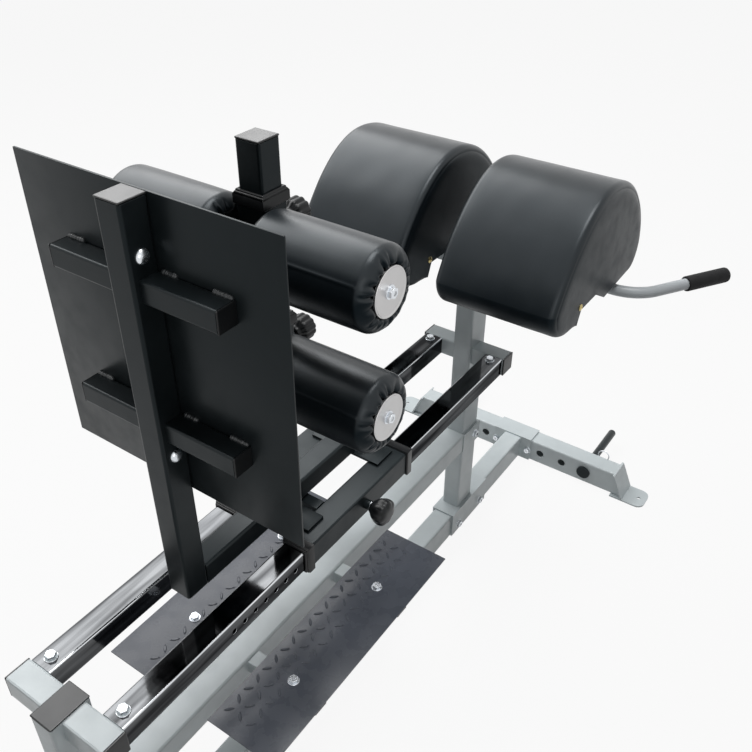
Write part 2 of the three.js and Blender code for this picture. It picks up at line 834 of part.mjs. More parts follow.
function bandPeg(y) {
  const reach = pegTip - pegStart;
  const peg = turned([
    [0, -pegHeadThickness],
    [pegHeadRadius - pegRound / 2, -pegHeadThickness],
    [pegHeadRadius, -pegHeadThickness + pegRound / 2],
    [pegHeadRadius, -gap],
    [pegRadius, -gap],
    [pegRadius, reach - pegRound],
    [pegRadius - pegRound, reach],
    [0, reach],
  ], 'x', [pegStart, y, baseMiddle]);
  const holes = [lockStation, frontFootFront + spareHoleOffset].map((station) => leaned(
    rod('z', baseMiddle - pegRadius * 2, baseMiddle + pegRadius * 2, station, y, lockPinRadius + gap,
      holeSides), y));
  return cut(peg, ...holes);
}

function pegLockPin(y) {
  const ring = new THREE.TorusGeometry(lockRingRadius, lockWireRadius, ringSides, pinSides);
  ring.rotateY(Math.PI / 2);
  const neckEnd = baseMiddle + pegRadius + lockPinNeck;
  ring.translate(lockStation, y, neckEnd + lockRingRadius);
  const stem = rod('z', baseMiddle - pegRadius - lockPinTail, neckEnd, lockStation, y, lockPinRadius,
    holeSides);
  return leaned(joined(stem, ring), y);
}
for (const [hand, side] of [['left', 1], ['right', -1]]) {
  add(`band_peg_${hand}`, bandPeg(side * pegOffset), blackPaint);
  add(`peg_lock_pin_${hand}`, pegLockPin(side * pegOffset), zinc);
}

// Carriage
const carriageRear = carriageStation - carriageLength / 2;
const carriageFront = carriageStation + carriageLength / 2;
const sleeveRear = carriageRear + collarEnd + gap;
const sleeveFront = carriageFront - collarEnd - gap;
const sleeveHalf = sleeveSize / 2;
const sleeveTop = railMiddle + sleeveHalf;
const pinHoleRadius = pinRadius + gap;
const carriagePinFace = -railOffset - sleeveHalf;

function railSleeve(side) {
  const tube = boxTube({
    axis: 'x', from: sleeveRear, to: sleeveFront, a: side * railOffset, b: railMiddle,
    width: sleeveSize, height: sleeveSize, wall: sleeveWall, corner: sleeveWall,
  });
  if (side > 0) return tube;
  return joined(
    cut(tube, rod('y', carriagePinFace - overrun, carriagePinFace + sleeveWall * 2, carriagePinStation,
      railMiddle, pinHoleRadius, pinSides)),
    pinHousing('y', carriagePinFace, -1, carriagePinStation, railMiddle, carriagePinHousingLength),
  );
}
add('rail_sleeve_left', railSleeve(1), blackPaint);
add('rail_sleeve_right', railSleeve(-1), blackPaint);
for (const [hand, side] of [['left', 1], ['right', -1]]) {
  add(`rear_rail_collar_${hand}`, guideCollar('x', sleeveRear, -1, side * railOffset, railMiddle),
    blackPlastic);
  add(`front_rail_collar_${hand}`, guideCollar('x', sleeveFront, 1, side * railOffset, railMiddle),
    blackPlastic);
}

const plateTop = sleeveTop + crossPlateThickness;
const spineMiddle = plateTop + spineSize / 2;
const spineTop = plateTop + spineSize;
const spineRear = footColumnStation + spineSize / 2;
const spineFront = frontPlateStation + frontPlateWidth / 2;
function crossPlate(station, width) {
  return block(station - width / 2, station + width / 2, -railOffset, railOffset, sleeveTop, plateTop);
}
add('carriage_rear_plate', crossPlate(rearPlateStation, rearPlateWidth), blackPaint);
add('carriage_front_plate', crossPlate(frontPlateStation, frontPlateWidth), blackPaint);
const tieReach = railOffset - sleeveHalf;
add('carriage_tie_bar', block(tieBarStation - tieBarWidth / 2, tieBarStation + tieBarWidth / 2,
  -tieReach, tieReach, sleeveTop - tieBarHeight, sleeveTop), blackPaint);
add('carriage_spine', boxTube({
  axis: 'x', from: spineRear, to: spineFront, a: 0, b: spineMiddle,
  width: spineSize, height: spineSize, wall: columnWall, corner: columnCorner,
}), blackPaint);
add('carriage_pin', pullPin('y', carriagePinFace, -1, carriagePinStation, railMiddle,
  carriagePinHousingLength, carriageKnobRadius), blackPlastic);

// Foot plate and its column
const columnHalf = spineSize / 2;
const columnBottom = plateTop + capFlange + gap;
const plateRear = footColumnStation + columnHalf;
const barFront = plateRear;
const barMiddleStation = barFront - barSize / 2;
const barInner = columnHalf - weld;
const domeSteps = 4;
const domeHeight = 7;
const domeRadius = 12;
function domedBolt(z) {
  const points = [[0, -columnHalf / 2], [boltRadius, -columnHalf / 2], [boltRadius, -weld],
    [domeRadius, -weld]];
  for (let i = 0; i < domeSteps; i += 1) {
    const angle = (Math.PI / 2) * (i / domeSteps);
    points.push([domeRadius * Math.cos(angle), domeHeight * Math.sin(angle)]);
  }
  points.push([0, domeHeight]);
  const bolt = turned(points, 'z', [0, 0, 0], pinSides);
  bolt.rotateX(Math.PI / 2);
  bolt.translate(footColumnStation, -columnHalf, z);
  return bolt;
}
const barHeights = [upperBarDrop, lowerBarDrop].map((drop) => columnTop - drop - barSize / 2);
const columnBoltHeights = columnBoltDrops.map((drop) => columnTop - drop);
const footPlateTop = columnTop + footPlateRise;
const columnTube = boxTube({
  axis: 'z', from: columnBottom, to: columnTop, a: footColumnStation, b: 0,
  width: spineSize, height: spineSize, wall: columnWall, corner: columnCorner,
});
add('foot_plate_column', joined(columnTube, ...columnBoltHeights.map(domedBolt),
  ...barHeights.flatMap((z) => bothSides.map((side) => boxTube({
    axis: 'y', from: side > 0 ? barInner : -barReach, to: side > 0 ? barReach : -barInner,
    a: barMiddleStation, b: z, width: barSize, height: barSize, wall: barWall, corner: barCorner,
  })))), blackPaint);
add('foot_plate_column_cap', endCap('z', columnTop, 1, footColumnStation, 0, spineSize, columnWall,
  columnCorner), blackPlastic);

add('foot_plate', block(plateRear, plateRear + footPlateThickness, -footPlateWidth / 2,
  footPlateWidth / 2, footPlateTop - footPlateHeight, footPlateTop), blackPaint);

// Roller post with its row of holes
const postFront = rollerPostStation + columnHalf;
const upperRollerHeight = columnTop - upperRollerDrop;
const lowerRollerHeight = upperRollerHeight - postHolePitch * rollerSpacingHoles;
const upperPinHeight = upperRollerHeight + pinAboveAxle;
const lowerPinHeight = lowerRollerHeight + pinAboveAxle;
const postHoles = [];
const postHoleLevels = new Set();
for (let i = -upperHolesDown; i <= upperHolesUp; i += 1) {
  postHoleLevels.add(upperPinHeight + postHolePitch * i);
}
for (let i = -lowerHolesDown; i <= lowerHolesUp; i += 1) {
  postHoleLevels.add(lowerPinHeight + postHolePitch * i);
}
for (const z of postHoleLevels) {
  postHoles.push(rod('x', postFront - columnWall * 2, postFront + overrun, 0, z, railHoleRadius,
    railHoleSides));
}
add('roller_post', cut(boxTube({
  axis: 'z', from: spineTop, to: columnTop, a: rollerPostStation, b: 0,
  width: spineSize, height: spineSize, wall: columnWall, corner: columnCorner,
}), ...postHoles), blackPaint);
add('roller_post_cap', endCap('z', columnTop, 1, rollerPostStation, 0, spineSize, columnWall,
  columnCorner), blackPlastic);

// Ankle rollers: a sleeve on the post carries an axle and a roller on each side

// The outline of one roller from its inner end to its outer end. Each entry is a radius, a distance
// along the axle and the share of the pleat's depth that the gathered cover has there.
const rollerHalf = (rollerOuterEnd - rollerInnerEnd) / 2;
const boreRadius = axleRadius + gap;

function rollerEnd() {
  const gathered = (endDiscRadius + rollerRadius) / 2;
  return [
    [boreRadius, rollerHalf - rollerDish, 0],
    [endDiscRadius - rollerDish, rollerHalf - rollerDish, 0],
    [endDiscRadius + gap, rollerHalf - rollerDish / 2, 1],
    [gathered, rollerHalf, 1],
    [rollerRadius - rollerShoulderRound, rollerHalf - rollerShoulderRound, 1],
    [rollerRadius, rollerHalf - rollerShoulder, 0],
  ];
}

function pleatedRoller(side) {
  const outer = rollerEnd();
  const inner = outer.map(([radius, along, share]) => [radius, -along, share]);
  const outline = [...inner, ...outer.reverse()];
  const sides = rollerPleats * 2;
  const points = [];
  const faces = [];
  outline.forEach(([radius, along, share]) => {
    for (let i = 0; i < sides; i += 1) {
      const angle = (Math.PI * 2 * i) / sides;
      const fold = i % 2 === 0 ? 0 : rollerPleatDepth * share;
      const reach = along > 0 ? along - fold : along + fold;
      points.push(radius * Math.cos(angle), reach, radius * Math.sin(angle));
    }
  });
  for (let ring = 0; ring < outline.length; ring += 1) {
    const here = ring * sides;
    const next = ((ring + 1) % outline.length) * sides;
    for (let i = 0; i < sides; i += 1) {
      const j = (i + 1) % sides;
      faces.push(here + i, next + i, here + j, here + j, next + i, next + j);
    }
  }
  const roller = new THREE.BufferGeometry();
  roller.setAttribute('position', new THREE.Float32BufferAttribute(points, 3));
  roller.setIndex(faces);
  roller.computeVertexNormals();
  roller.translate(0, side * (rollerInnerEnd + rollerHalf), 0);
  return roller;
}

// The axle lies across the rear face of the sleeve, on a saddle that is welded to both. Near each
// roller it has a boss, and its ends are bored for the bolts of the discs.
const axleStation = rollerPostStation - sleeveHalf - axleRadius + weld;
const axleEnd = rollerOuterEnd - rollerDish / 2;
const bossEnd = rollerInnerEnd + rollerDish - rollerEndGap;
const bossStart = bossEnd - axleBossLength;
function axleArm(side) {
  const arm = turned([
    [0, -weld],
    [axleRadius, -weld],
    [axleRadius, bossStart],
    [axleBossRadius, bossStart],
    [axleBossRadius, bossEnd],
    [axleRadius, bossEnd],
    [axleRadius, axleEnd],
    [boltRadius + gap, axleEnd],
    [boltRadius + gap, axleEnd - axleBoltDepth],
    [0, axleEnd - axleBoltDepth],
  ], 'y', [0, 0, 0]);
  if (side < 0) arm.rotateZ(Math.PI);
  return arm;
}

function axle(height) {
  const arms = bothSides.map(axleArm);
  arms.forEach((arm) => arm.translate(axleStation, 0, height));
  const saddle = block(axleStation, rollerPostStation - sleeveHalf + weld, -axleSaddleWidth / 2,
    axleSaddleWidth / 2, height - axleSaddleHeight / 2, height + axleSaddleHeight / 2);
  return [...arms, saddle];
}

// The disc that keeps a roller on its axle
function endDisc(side) {
  const start = axleEnd + gap;
  const disc = turned([
    [0, 0],
    [endDiscRadius, 0],
    [endDiscRadius, endDiscThickness - endDiscChamfer],
    [endDiscRadius - endDiscChamfer, endDiscThickness],
    [0, endDiscThickness],
  ], 'y', [0, start, 0]);
  const tip = axleEnd - axleBoltDepth + rollerEndGap;
  const fitted = joined(disc, hexBolt('y', start + endDiscThickness - weld, tip, 0, 0));
  if (side < 0) fitted.rotateZ(Math.PI);
  return fitted;
}

const pinStation = rollerPostStation + sleeveHalf;
for (const [level, height] of [['upper', upperRollerHeight], ['lower', lowerRollerHeight]]) {
  const low = height - rollerSleeveBelow;
  const high = height + rollerSleeveAbove;
  const pinHeight = height + pinAboveAxle;
  const tube = boxTube({
    axis: 'z', from: low, to: high, a: rollerPostStation, b: 0,
    width: sleeveSize, height: sleeveSize, wall: sleeveWall, corner: sleeveWall,
  });
  const pinHole = rod('x', pinStation - sleeveWall * 2, pinStation + overrun, 0, pinHeight,
    pinHoleRadius, pinSides);
  add(`${level}_roller_sleeve`, joined(
    cut(tube, pinHole),
    pinHousing('x', pinStation, 1, 0, pinHeight, postPinHousingLength),
    ...axle(height),
  ), blackPaint);
  add(`${level}_sleeve_collar_bottom`, guideCollar('z', low, -1, rollerPostStation, 0), blackPlastic);
  add(`${level}_sleeve_collar_top`, guideCollar('z', high, 1, rollerPostStation, 0), blackPlastic);
  add(`${level}_pin`, pullPin('x', pinStation, 1, 0, pinHeight, postPinHousingLength, knobRadius),
    blackPlastic);
  for (const [hand, side] of [['left', 1], ['right', -1]]) {
    const roller = pleatedRoller(side);
    roller.translate(axleStation, 0, height);
    add(`${level}_roller_${hand}`, roller, vinyl);
    const disc = endDisc(side);
    disc.translate(axleStation, 0, height);
    add(`${level}_roller_disc_${hand}`, disc, zinc);
  }
}

// Thigh pads on their beam
const padMiddle = (padInnerFace + padOuterFace) / 2;
const padPlateStation = uprightSpan + padPlateOffset;
function padPlate(side) {
  return block(
    padPlateStation - padPlateLength / 2, padPlateStation + padPlateLength / 2,
    side * padMiddle - padPlateWidth / 2, side * padMiddle + padPlateWidth / 2,
    padBeamTop - weld, padBottom,
  );
}

// Blocks that clamp each handle tube under its pad plate
function handleClamp(y) {
  const body = block(handleStation - clampDepth / 2, handleStation + clampDepth / 2,
    y - clampWidth / 2, y + clampWidth / 2, handleHeight - handleTubeRadius - clampWall,
    padBeamTop + weld);
  return cut(body, rod('y', y - clampWidth, y + clampWidth, handleStation, handleHeight,
    handleTubeRadius + gap));
}
const clampPlaces = [padMiddle - clampSpread / 2, padMiddle + clampSpread / 2];
add('pad_beam', joined(
  boxTube({
    axis: 'y', from: -padBeamLength / 2, to: padBeamLength / 2, a: uprightSpan + padBeamOffset,
    b: padBeamTop - padBeamHeight / 2,
    width: padBeamDepth, height: padBeamHeight, wall: frameWall, corner: columnCorner,
  }),
  ...bothSides.map(padPlate),
  ...clampPlaces.flatMap((y) => bothSides.map((side) => handleClamp(side * y))),
), blackPaint);

// The side profile of a pad: stations and heights above its underside. The third entry tells
// whether the cover is drawn in there towards the pad's sides.
function padProfile() {
  const half = padLength / 2;
  const points = [];
  const lowerCorner = (end, tuck, belly, step) => {
    const angle = (Math.PI / 2) * (step / padCornerSteps);
    points.push([
      end - Math.sign(end) * tuck * (1 - Math.cos(angle)), belly * (1 - Math.sin(angle)), 1,
    ]);
  };
  for (let i = padCornerSteps; i > 0; i -= 1) lowerCorner(-half, padRearTuck, padRearBelly, i);
  for (let i = 0; i <= padArchSteps; i += 1) {
    const share = Math.cos(Math.PI * (1 - i / padArchSteps));
    const belly = share < 0 ? padRearBelly : padFrontBelly;
    const fullness = share < 0 ? padRearFullness : padFrontFullness;
    const rise = (1 - share * share) ** fullness;
    points.push([half * share, belly + (padHeight - belly) * rise, 1]);
  }
  for (let i = 1; i <= padCornerSteps; i += 1) lowerCorner(half, padFrontTuck, padFrontBelly, i);
  points.push([padNotchLean - padNotchFront, 0, 0]);
  points.push([-padNotchFront, padNotchHeight, 0]);
  points.push([padNotchSlant - padNotchRear, padNotchHeight, 0]);
  points.push([-padNotchRear, 0, 0]);
  return points;
}

// A pad has the same profile all along, drawn in near its two sides where the cover is sewn.
function thighPad(side) {
  const sections = [
    [padInnerFace, 1],
    [padInnerFace + padSeamInset, padSeamShare],
    [padInnerFace + padCrownInset, 0],
    [padOuterFace - padCrownInset, 0],
    [padOuterFace - padSeamInset, padSeamShare],
    [padOuterFace, 1],
  ];
  const profile = padProfile();
  const points = [];
  sections.forEach(([y, share]) => {
    profile.forEach(([along, height, drawn]) => {
      const above = height - padFrontBelly;
      const scale = drawn * share * padCrown / Math.hypot(along, above);
      points.push(along * (1 - scale), y, height - above * scale);
    });
  });
  const count = profile.length;
  const faces = [];
  for (let ring = 0; ring < sections.length - 1; ring += 1) {
    for (let i = 0; i < count; i += 1) {
      const j = (i + 1) % count;
      const a = ring * count;
      const b = a + count;
      faces.push(a + i, a + j, b + i, a + j, b + j, b + i);
    }
  }
  const capAt = (ring, flip) => {
    const flat = profile.map((_, i) => new THREE.Vector2(
      points[(ring * count + i) * 3], points[(ring * count + i) * 3 + 2],
    ));
    THREE.ShapeUtils.triangulateShape(flat, []).forEach(([p, q, r]) => {
      const base = ring * count;
      if (flip) faces.push(base + p, base + r, base + q);
      else faces.push(base + p, base + q, base + r);
    });
  };
  capAt(0, false);
  capAt(sections.length - 1, true);
  const pad = new THREE.BufferGeometry();
  pad.setAttribute('position', new THREE.Float32BufferAttribute(points, 3));
  pad.setIndex(faces);
  if (side < 0) {
    pad.scale(1, -1, 1);
    const order = pad.index.array;
    for (let i = 0; i < order.length; i += 3) [order[i], order[i + 1]] = [order[i + 1], order[i]];
  }
  pad.translate(padStation, 0, padBottom);
  return pad;
}

add('thigh_pad_left', thighPad(1), vinyl);
add('thigh_pad_right', thighPad(-1), vinyl);

// Handles: a tube under each pad that turns forward and outward to a grip
const splay = THREE.MathUtils.degToRad(handleSplay);
const bendAngle = Math.PI / 2 - splay;
const bendTangent = handleBendRadius * Math.tan(bendAngle / 2);
const gripDirection = new THREE.Vector3(Math.cos(splay), Math.sin(splay), 0);
const handleCorner = new THREE.Vector3(handleStation, handleCornerOffset, handleHeight);
const tubeReach = handleReach - gripEndWall - gap;

class HandlePath extends THREE.Curve {
  constructor(bendSteps) {
    super();
    this.steps = bendSteps + 2;
  }

  // The steps are given out one to each straight and the rest to the bend.
  getUtoTmapping(u) {
    return u;
  }

  getPoint(t) {
    const step = t * this.steps;
    const bendStart = new THREE.Vector3(handleStation, handleCornerOffset - bendTangent, handleHeight);
    if (step <= 1) {
      const start = new THREE.Vector3(handleStation, handleInnerEnd, handleHeight);
      return start.lerp(bendStart, step);
    }
    const bendEnd = handleCorner.clone().addScaledVector(gripDirection, bendTangent);
    if (step >= this.steps - 1) {
      const end = handleCorner.clone().addScaledVector(gripDirection, tubeReach);
      return bendEnd.lerp(end, step - (this.steps - 1));
    }
    const angle = (bendAngle * (step - 1)) / (this.steps - 2);
    return new THREE.Vector3(
      handleStation + handleBendRadius * (1 - Math.cos(angle)),
      bendStart.y + handleBendRadius * Math.sin(angle),
      handleHeight,
    );
  }
}

function handleTube() {
  const path = new HandlePath(handleBendSteps);
  const ring = new THREE.Shape().absarc(0, 0, handleTubeRadius, 0, Math.PI * 2, false);
  const bore = handleTubeRadius - handleTubeWall;
  ring.holes.push(new THREE.Path().absarc(0, 0, bore, 0, Math.PI * 2, true));
  return new THREE.ExtrudeGeometry(ring, {
    steps: path.steps, extrudePath: path, curveSegments: handleSides / 2, bevelEnabled: false,
  });
}

function handleGrip() {
  const bore = handleTubeRadius + gap;
  const grip = turned([
    [bore, 0],
    [gripRadius - gripRound / 2, 0],
    [gripRadius, gripRound / 2],
    [gripRadius, gripLength - gripRound],
    [gripRadius - gripRound * gripRoundShare, gripLength - gripRound * gripRoundShare],
    [gripRadius - gripRound, gripLength],
    [0, gripLength],
    [0, gripLength - gripEndWall],
    [bore, gripLength - gripEndWall],
    [bore, 0],
  ], 'x', [0, 0, 0], handleSides);
  grip.rotateZ(splay);
  const start = handleCorner.clone().addScaledVector(gripDirection, handleReach - gripLength);
  grip.translate(start.x, start.y, start.z);
  return grip;
}

function mirrored(geometry) {
  const copy = geometry.index ? geometry.toNonIndexed() : geometry.clone();
  copy.deleteAttribute('uv');
  copy.deleteAttribute('normal');
  copy.scale(1, -1, 1);
  const places = copy.attributes.position;
  for (let i = 0; i < places.count; i += 3) {
    for (let k = 0; k < 3; k += 1) {
      const kept = places.array[(i + 1) * 3 + k];
      places.array[(i + 1) * 3 + k] = places.array[(i + 2) * 3 + k];
      places.array[(i + 2) * 3 + k] = kept;
    }
  }
  copy.computeVertexNormals();
  return copy;
}

for (const [hand, side] of [['left', 1], ['right', -1]]) {
  add(`handle_tube_${hand}`, side > 0 ? handleTube() : mirrored(handleTube()), zinc);
  add(`handle_grip_${hand}`, side > 0 ? handleGrip() : mirrored(handleGrip()), foamRubber);
}

// The origin goes to the floor under the middle of the whole outline.
const rearEnd = rearFootStation - footTabWidth / 2;
const frontEnd = pegTip;
pieces.position.x = -(rearEnd + frontEnd) / 2;
machine.updateMatrixWorld(true);

export default machine;
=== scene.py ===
"""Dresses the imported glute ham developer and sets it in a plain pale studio.

Lengths inside the classes are millimetres. Stations run forward from the rear upright, and become
metres in the machine's own frame when a piece is finished.
"""

import logging
import math
from dataclasses import dataclass
from enum import Enum
from typing import Iterable, Sequence

import bmesh
import bpy
from mathutils import Matrix, Vector, noise


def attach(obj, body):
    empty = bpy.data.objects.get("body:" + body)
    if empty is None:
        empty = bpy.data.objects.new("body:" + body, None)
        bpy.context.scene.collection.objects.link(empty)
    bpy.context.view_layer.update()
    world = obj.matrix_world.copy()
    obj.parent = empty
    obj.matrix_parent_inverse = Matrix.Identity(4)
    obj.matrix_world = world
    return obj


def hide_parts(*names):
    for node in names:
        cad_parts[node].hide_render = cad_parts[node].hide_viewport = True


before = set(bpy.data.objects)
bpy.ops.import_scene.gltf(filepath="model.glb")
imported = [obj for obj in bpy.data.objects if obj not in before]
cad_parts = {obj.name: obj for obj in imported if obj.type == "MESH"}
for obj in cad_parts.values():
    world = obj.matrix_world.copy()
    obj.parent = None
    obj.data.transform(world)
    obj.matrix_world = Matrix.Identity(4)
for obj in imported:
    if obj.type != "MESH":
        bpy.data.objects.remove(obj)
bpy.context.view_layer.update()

LOG = logging.getLogger("scene")
MM = 0.001
ORIGIN_STATION = 883.5

Point = tuple[float, float, float]


class Axis(Enum):
    """The direction that a bar, tube or bolt lies along."""

    X = "x"
    Y = "y"
    Z = "z"


class Grain(Enum):
    """The fine surface of a finish."""

    POWDER_COAT = "powder coat"
    LEATHERCLOTH = "leathercloth"
    FOAM = "foam"
    PLATING = "plating"
    MOULDING = "moulding"


class Side(Enum):
    """The left and right of the machine, with the sign of Y."""

    LEFT = 1
    RIGHT = -1

    @property
    def word(self) -> str:
        """The side's name in node names."""
        return self.name.lower()


SIDES = (Side.LEFT, Side.RIGHT)


class Wire:
    """A number socket that takes part in Python arithmetic."""

    def __init__(self, graph: "Graph", socket: bpy.types.NodeSocket) -> None:
        """Wraps a socket.

        Args:
            graph: The graph that the socket belongs to.
            socket: The output socket.
        """
        self.graph = graph
        self.socket = socket

    def _with(self, operation: str, first: object, second: object) -> "Wire":
        """Adds one Math node.

        Args:
            operation: The Math node's operation.
            first: The first value or wire.
            second: The second value or wire.

        Returns:
            The node's output.
        """
        node = self.graph.node("ShaderNodeMath", {"operation": operation}, {0: first, 1: second})
        return Wire(self.graph, node.outputs[0])

    def __add__(self, other: object) -> "Wire":
        """Adds."""
        return self._with("ADD", self, other)

    def __radd__(self, other: object) -> "Wire":
        """Adds from the right."""
        return self._with("ADD", other, self)

    def __sub__(self, other: object) -> "Wire":
        """Subtracts."""
        return self._with("SUBTRACT", self, other)

    def __rsub__(self, other: object) -> "Wire":
        """Subtracts from a value."""
        return self._with("SUBTRACT", other, self)

    def __mul__(self, other: object) -> "Wire":
        """Multiplies."""
        return self._with("MULTIPLY", self, other)

    def __rmul__(self, other: object) -> "Wire":
        """Multiplies from the right."""
        return self._with("MULTIPLY", other, self)

    def __pow__(self, other: object) -> "Wire":
        """Raises to a power."""
        return self._with("POWER", self, other)


class Graph:
    """A material's node tree with one Principled shader."""

    def __init__(self, name: str) -> None:
        """Starts an empty material.

        Args:
            name: The material's name.
        """
        self.material = bpy.data.materials.new(name)
        self.material.use_nodes = True
        self.tree = self.material.node_tree
        self.tree.nodes.clear()
        self.output = self.tree.nodes.new("ShaderNodeOutputMaterial")
        self.shader = self.tree.nodes.new("ShaderNodeBsdfPrincipled")
        self.tree.links.new(self.shader.outputs[0], self.output.inputs["Surface"])

    def plug(self, socket: bpy.types.NodeSocket, value: object) -> None:
        """Sets or links one input.

        Args:
            socket: The input socket.
            value: A wire, a socket, or a plain value.
        """
        if isinstance(value, Wire):
            value = value.socket
        if isinstance(value, bpy.types.NodeSocket):
            self.tree.links.new(value, socket)
        elif isinstance(value, tuple) and len(value) == 3 and socket.type == "RGBA":
            socket.default_value = (*value, 1.0)
        else:
            socket.default_value = value

    def node(self, kind: str, settings: dict, inputs: dict) -> bpy.types.Node:
        """Adds any node.

        Args:
            kind: The node's type.
            settings: Its settings, or the stops of a ramp under "stops".
            inputs: Values or wires by socket name or number.

        Returns:
            The node.
        """
        made = self.tree.nodes.new(kind)
        for key, value in settings.items():
            if key == "stops":
                ramp = made.color_ramp
                while len(ramp.elements) < len(value):
                    ramp.elements.new(1.0)
                for element, (place, shade) in zip(ramp.elements, value):
                    element.position = place
                    element.color = (shade, shade, shade, 1.0)
            else:
                setattr(made, key, value)
        for key, value in inputs.items():
            self.plug(made.inputs[key], value)
        return made

    def place(self, stretch: Point = (1.0, 1.0, 1.0)) -> bpy.types.NodeSocket:
        """Object coordinates, stretched.

        Args:
            stretch: The scale along each axis.

        Returns:
            The vector socket.
        """
        source = self.node("ShaderNodeTexCoord", {}, {})
        mapping = self.node("ShaderNodeMapping", {}, {"Vector": source.outputs["Object"], "Scale": stretch})
        return mapping.outputs[0]

    def noise(self, where: bpy.types.NodeSocket, scale: float, detail: float = 2.0) -> Wire:
        """Noise between about 0.3 and 0.7.

        Args:
            where: The coordinates.
            scale: Features per metre.
            detail: The number of octaves.

        Returns:
            The noise value.
        """
        made = self.node("ShaderNodeTexNoise", {}, {"Vector": where, "Scale": scale, "Detail": detail})
        return Wire(self, made.outputs[0])

    def cells(self, where: bpy.types.NodeSocket, scale: float) -> Wire:
        """The distance to the edges of small cells, as in pressed leathercloth.

        Args:
            where: The coordinates.
            scale: Cells per metre.

        Returns:
            The distance.
        """
        made = self.node("ShaderNodeTexVoronoi", {"feature": "DISTANCE_TO_EDGE"},
                         {"Vector": where, "Scale": scale})
        return Wire(self, made.outputs[0])

    def ramp(self, value: Wire, stops: Sequence[tuple[float, float]]) -> Wire:
        """Maps a value through grey stops.

        Args:
            value: The value.
            stops: Pairs of place and shade.

        Returns:
            The mapped value.
        """
        made = self.node("ShaderNodeValToRGB", {"stops": stops}, {0: value})
        return Wire(self, made.outputs[0])

    def facing_up(self, low: float, high: float) -> Wire:
        """How much a face looks up; it masks the painted top sheen.

        Args:
            low: The upward part of the normal at which the share is 0.
            high: The upward part of the normal at which it is 1.

        Returns:
            The share.
        """
        source = self.node("ShaderNodeTexCoord", {}, {})
        parts = self.node("ShaderNodeSeparateXYZ", {}, {0: source.outputs["Normal"]})
        return self.ramp(Wire(self, parts.outputs[2]), ((low, 0.0), (high, 1.0)))

    def flatness(self) -> Wire:
        """How much a face looks straight along an axis: 1 on flats and 0 on rounded edges; it masks the
        painted dark reflection.
        """
        source = self.node("ShaderNodeTexCoord", {}, {})
        parts = self.node("ShaderNodeSeparateXYZ", {}, {0: source.outputs["Normal"]})
        most = self.node("ShaderNodeMath", {"operation": "MAXIMUM"}, {
            0: Wire(self, parts.outputs[1]) * Wire(self, parts.outputs[1]),
            1: Wire(self, parts.outputs[2]) * Wire(self, parts.outputs[2])})
        return self.ramp(Wire(self, most.outputs[0]), ((0.72, 0.0), (0.97, 1.0)))

    def blend(self, factor: Wire, first: object, second: object) -> bpy.types.NodeSocket:
        """Mixes two colours.

        Args:
            factor: How much of the second colour shows.
            first: The first colour.
            second: The second colour.

        Returns:
            The colour socket.
        """
        made = self.node("ShaderNodeMix", {"data_type": "RGBA"}, {0: factor, 6: first, 7: second})
        return made.outputs[2]

    def bump(self, height: Wire, distance: float, strength: float) -> bpy.types.NodeSocket:
        """A bump.

        Args:
            height: The height, from 0 to 1.
            distance: The height of 1, in metres.
            strength: The share of the bump that is used.

        Returns:
            The normal socket.
        """
        made = self.node("ShaderNodeBump", {}, {"Height": height, "Distance": distance,
                                                 "Strength": strength})
        return made.outputs[0]


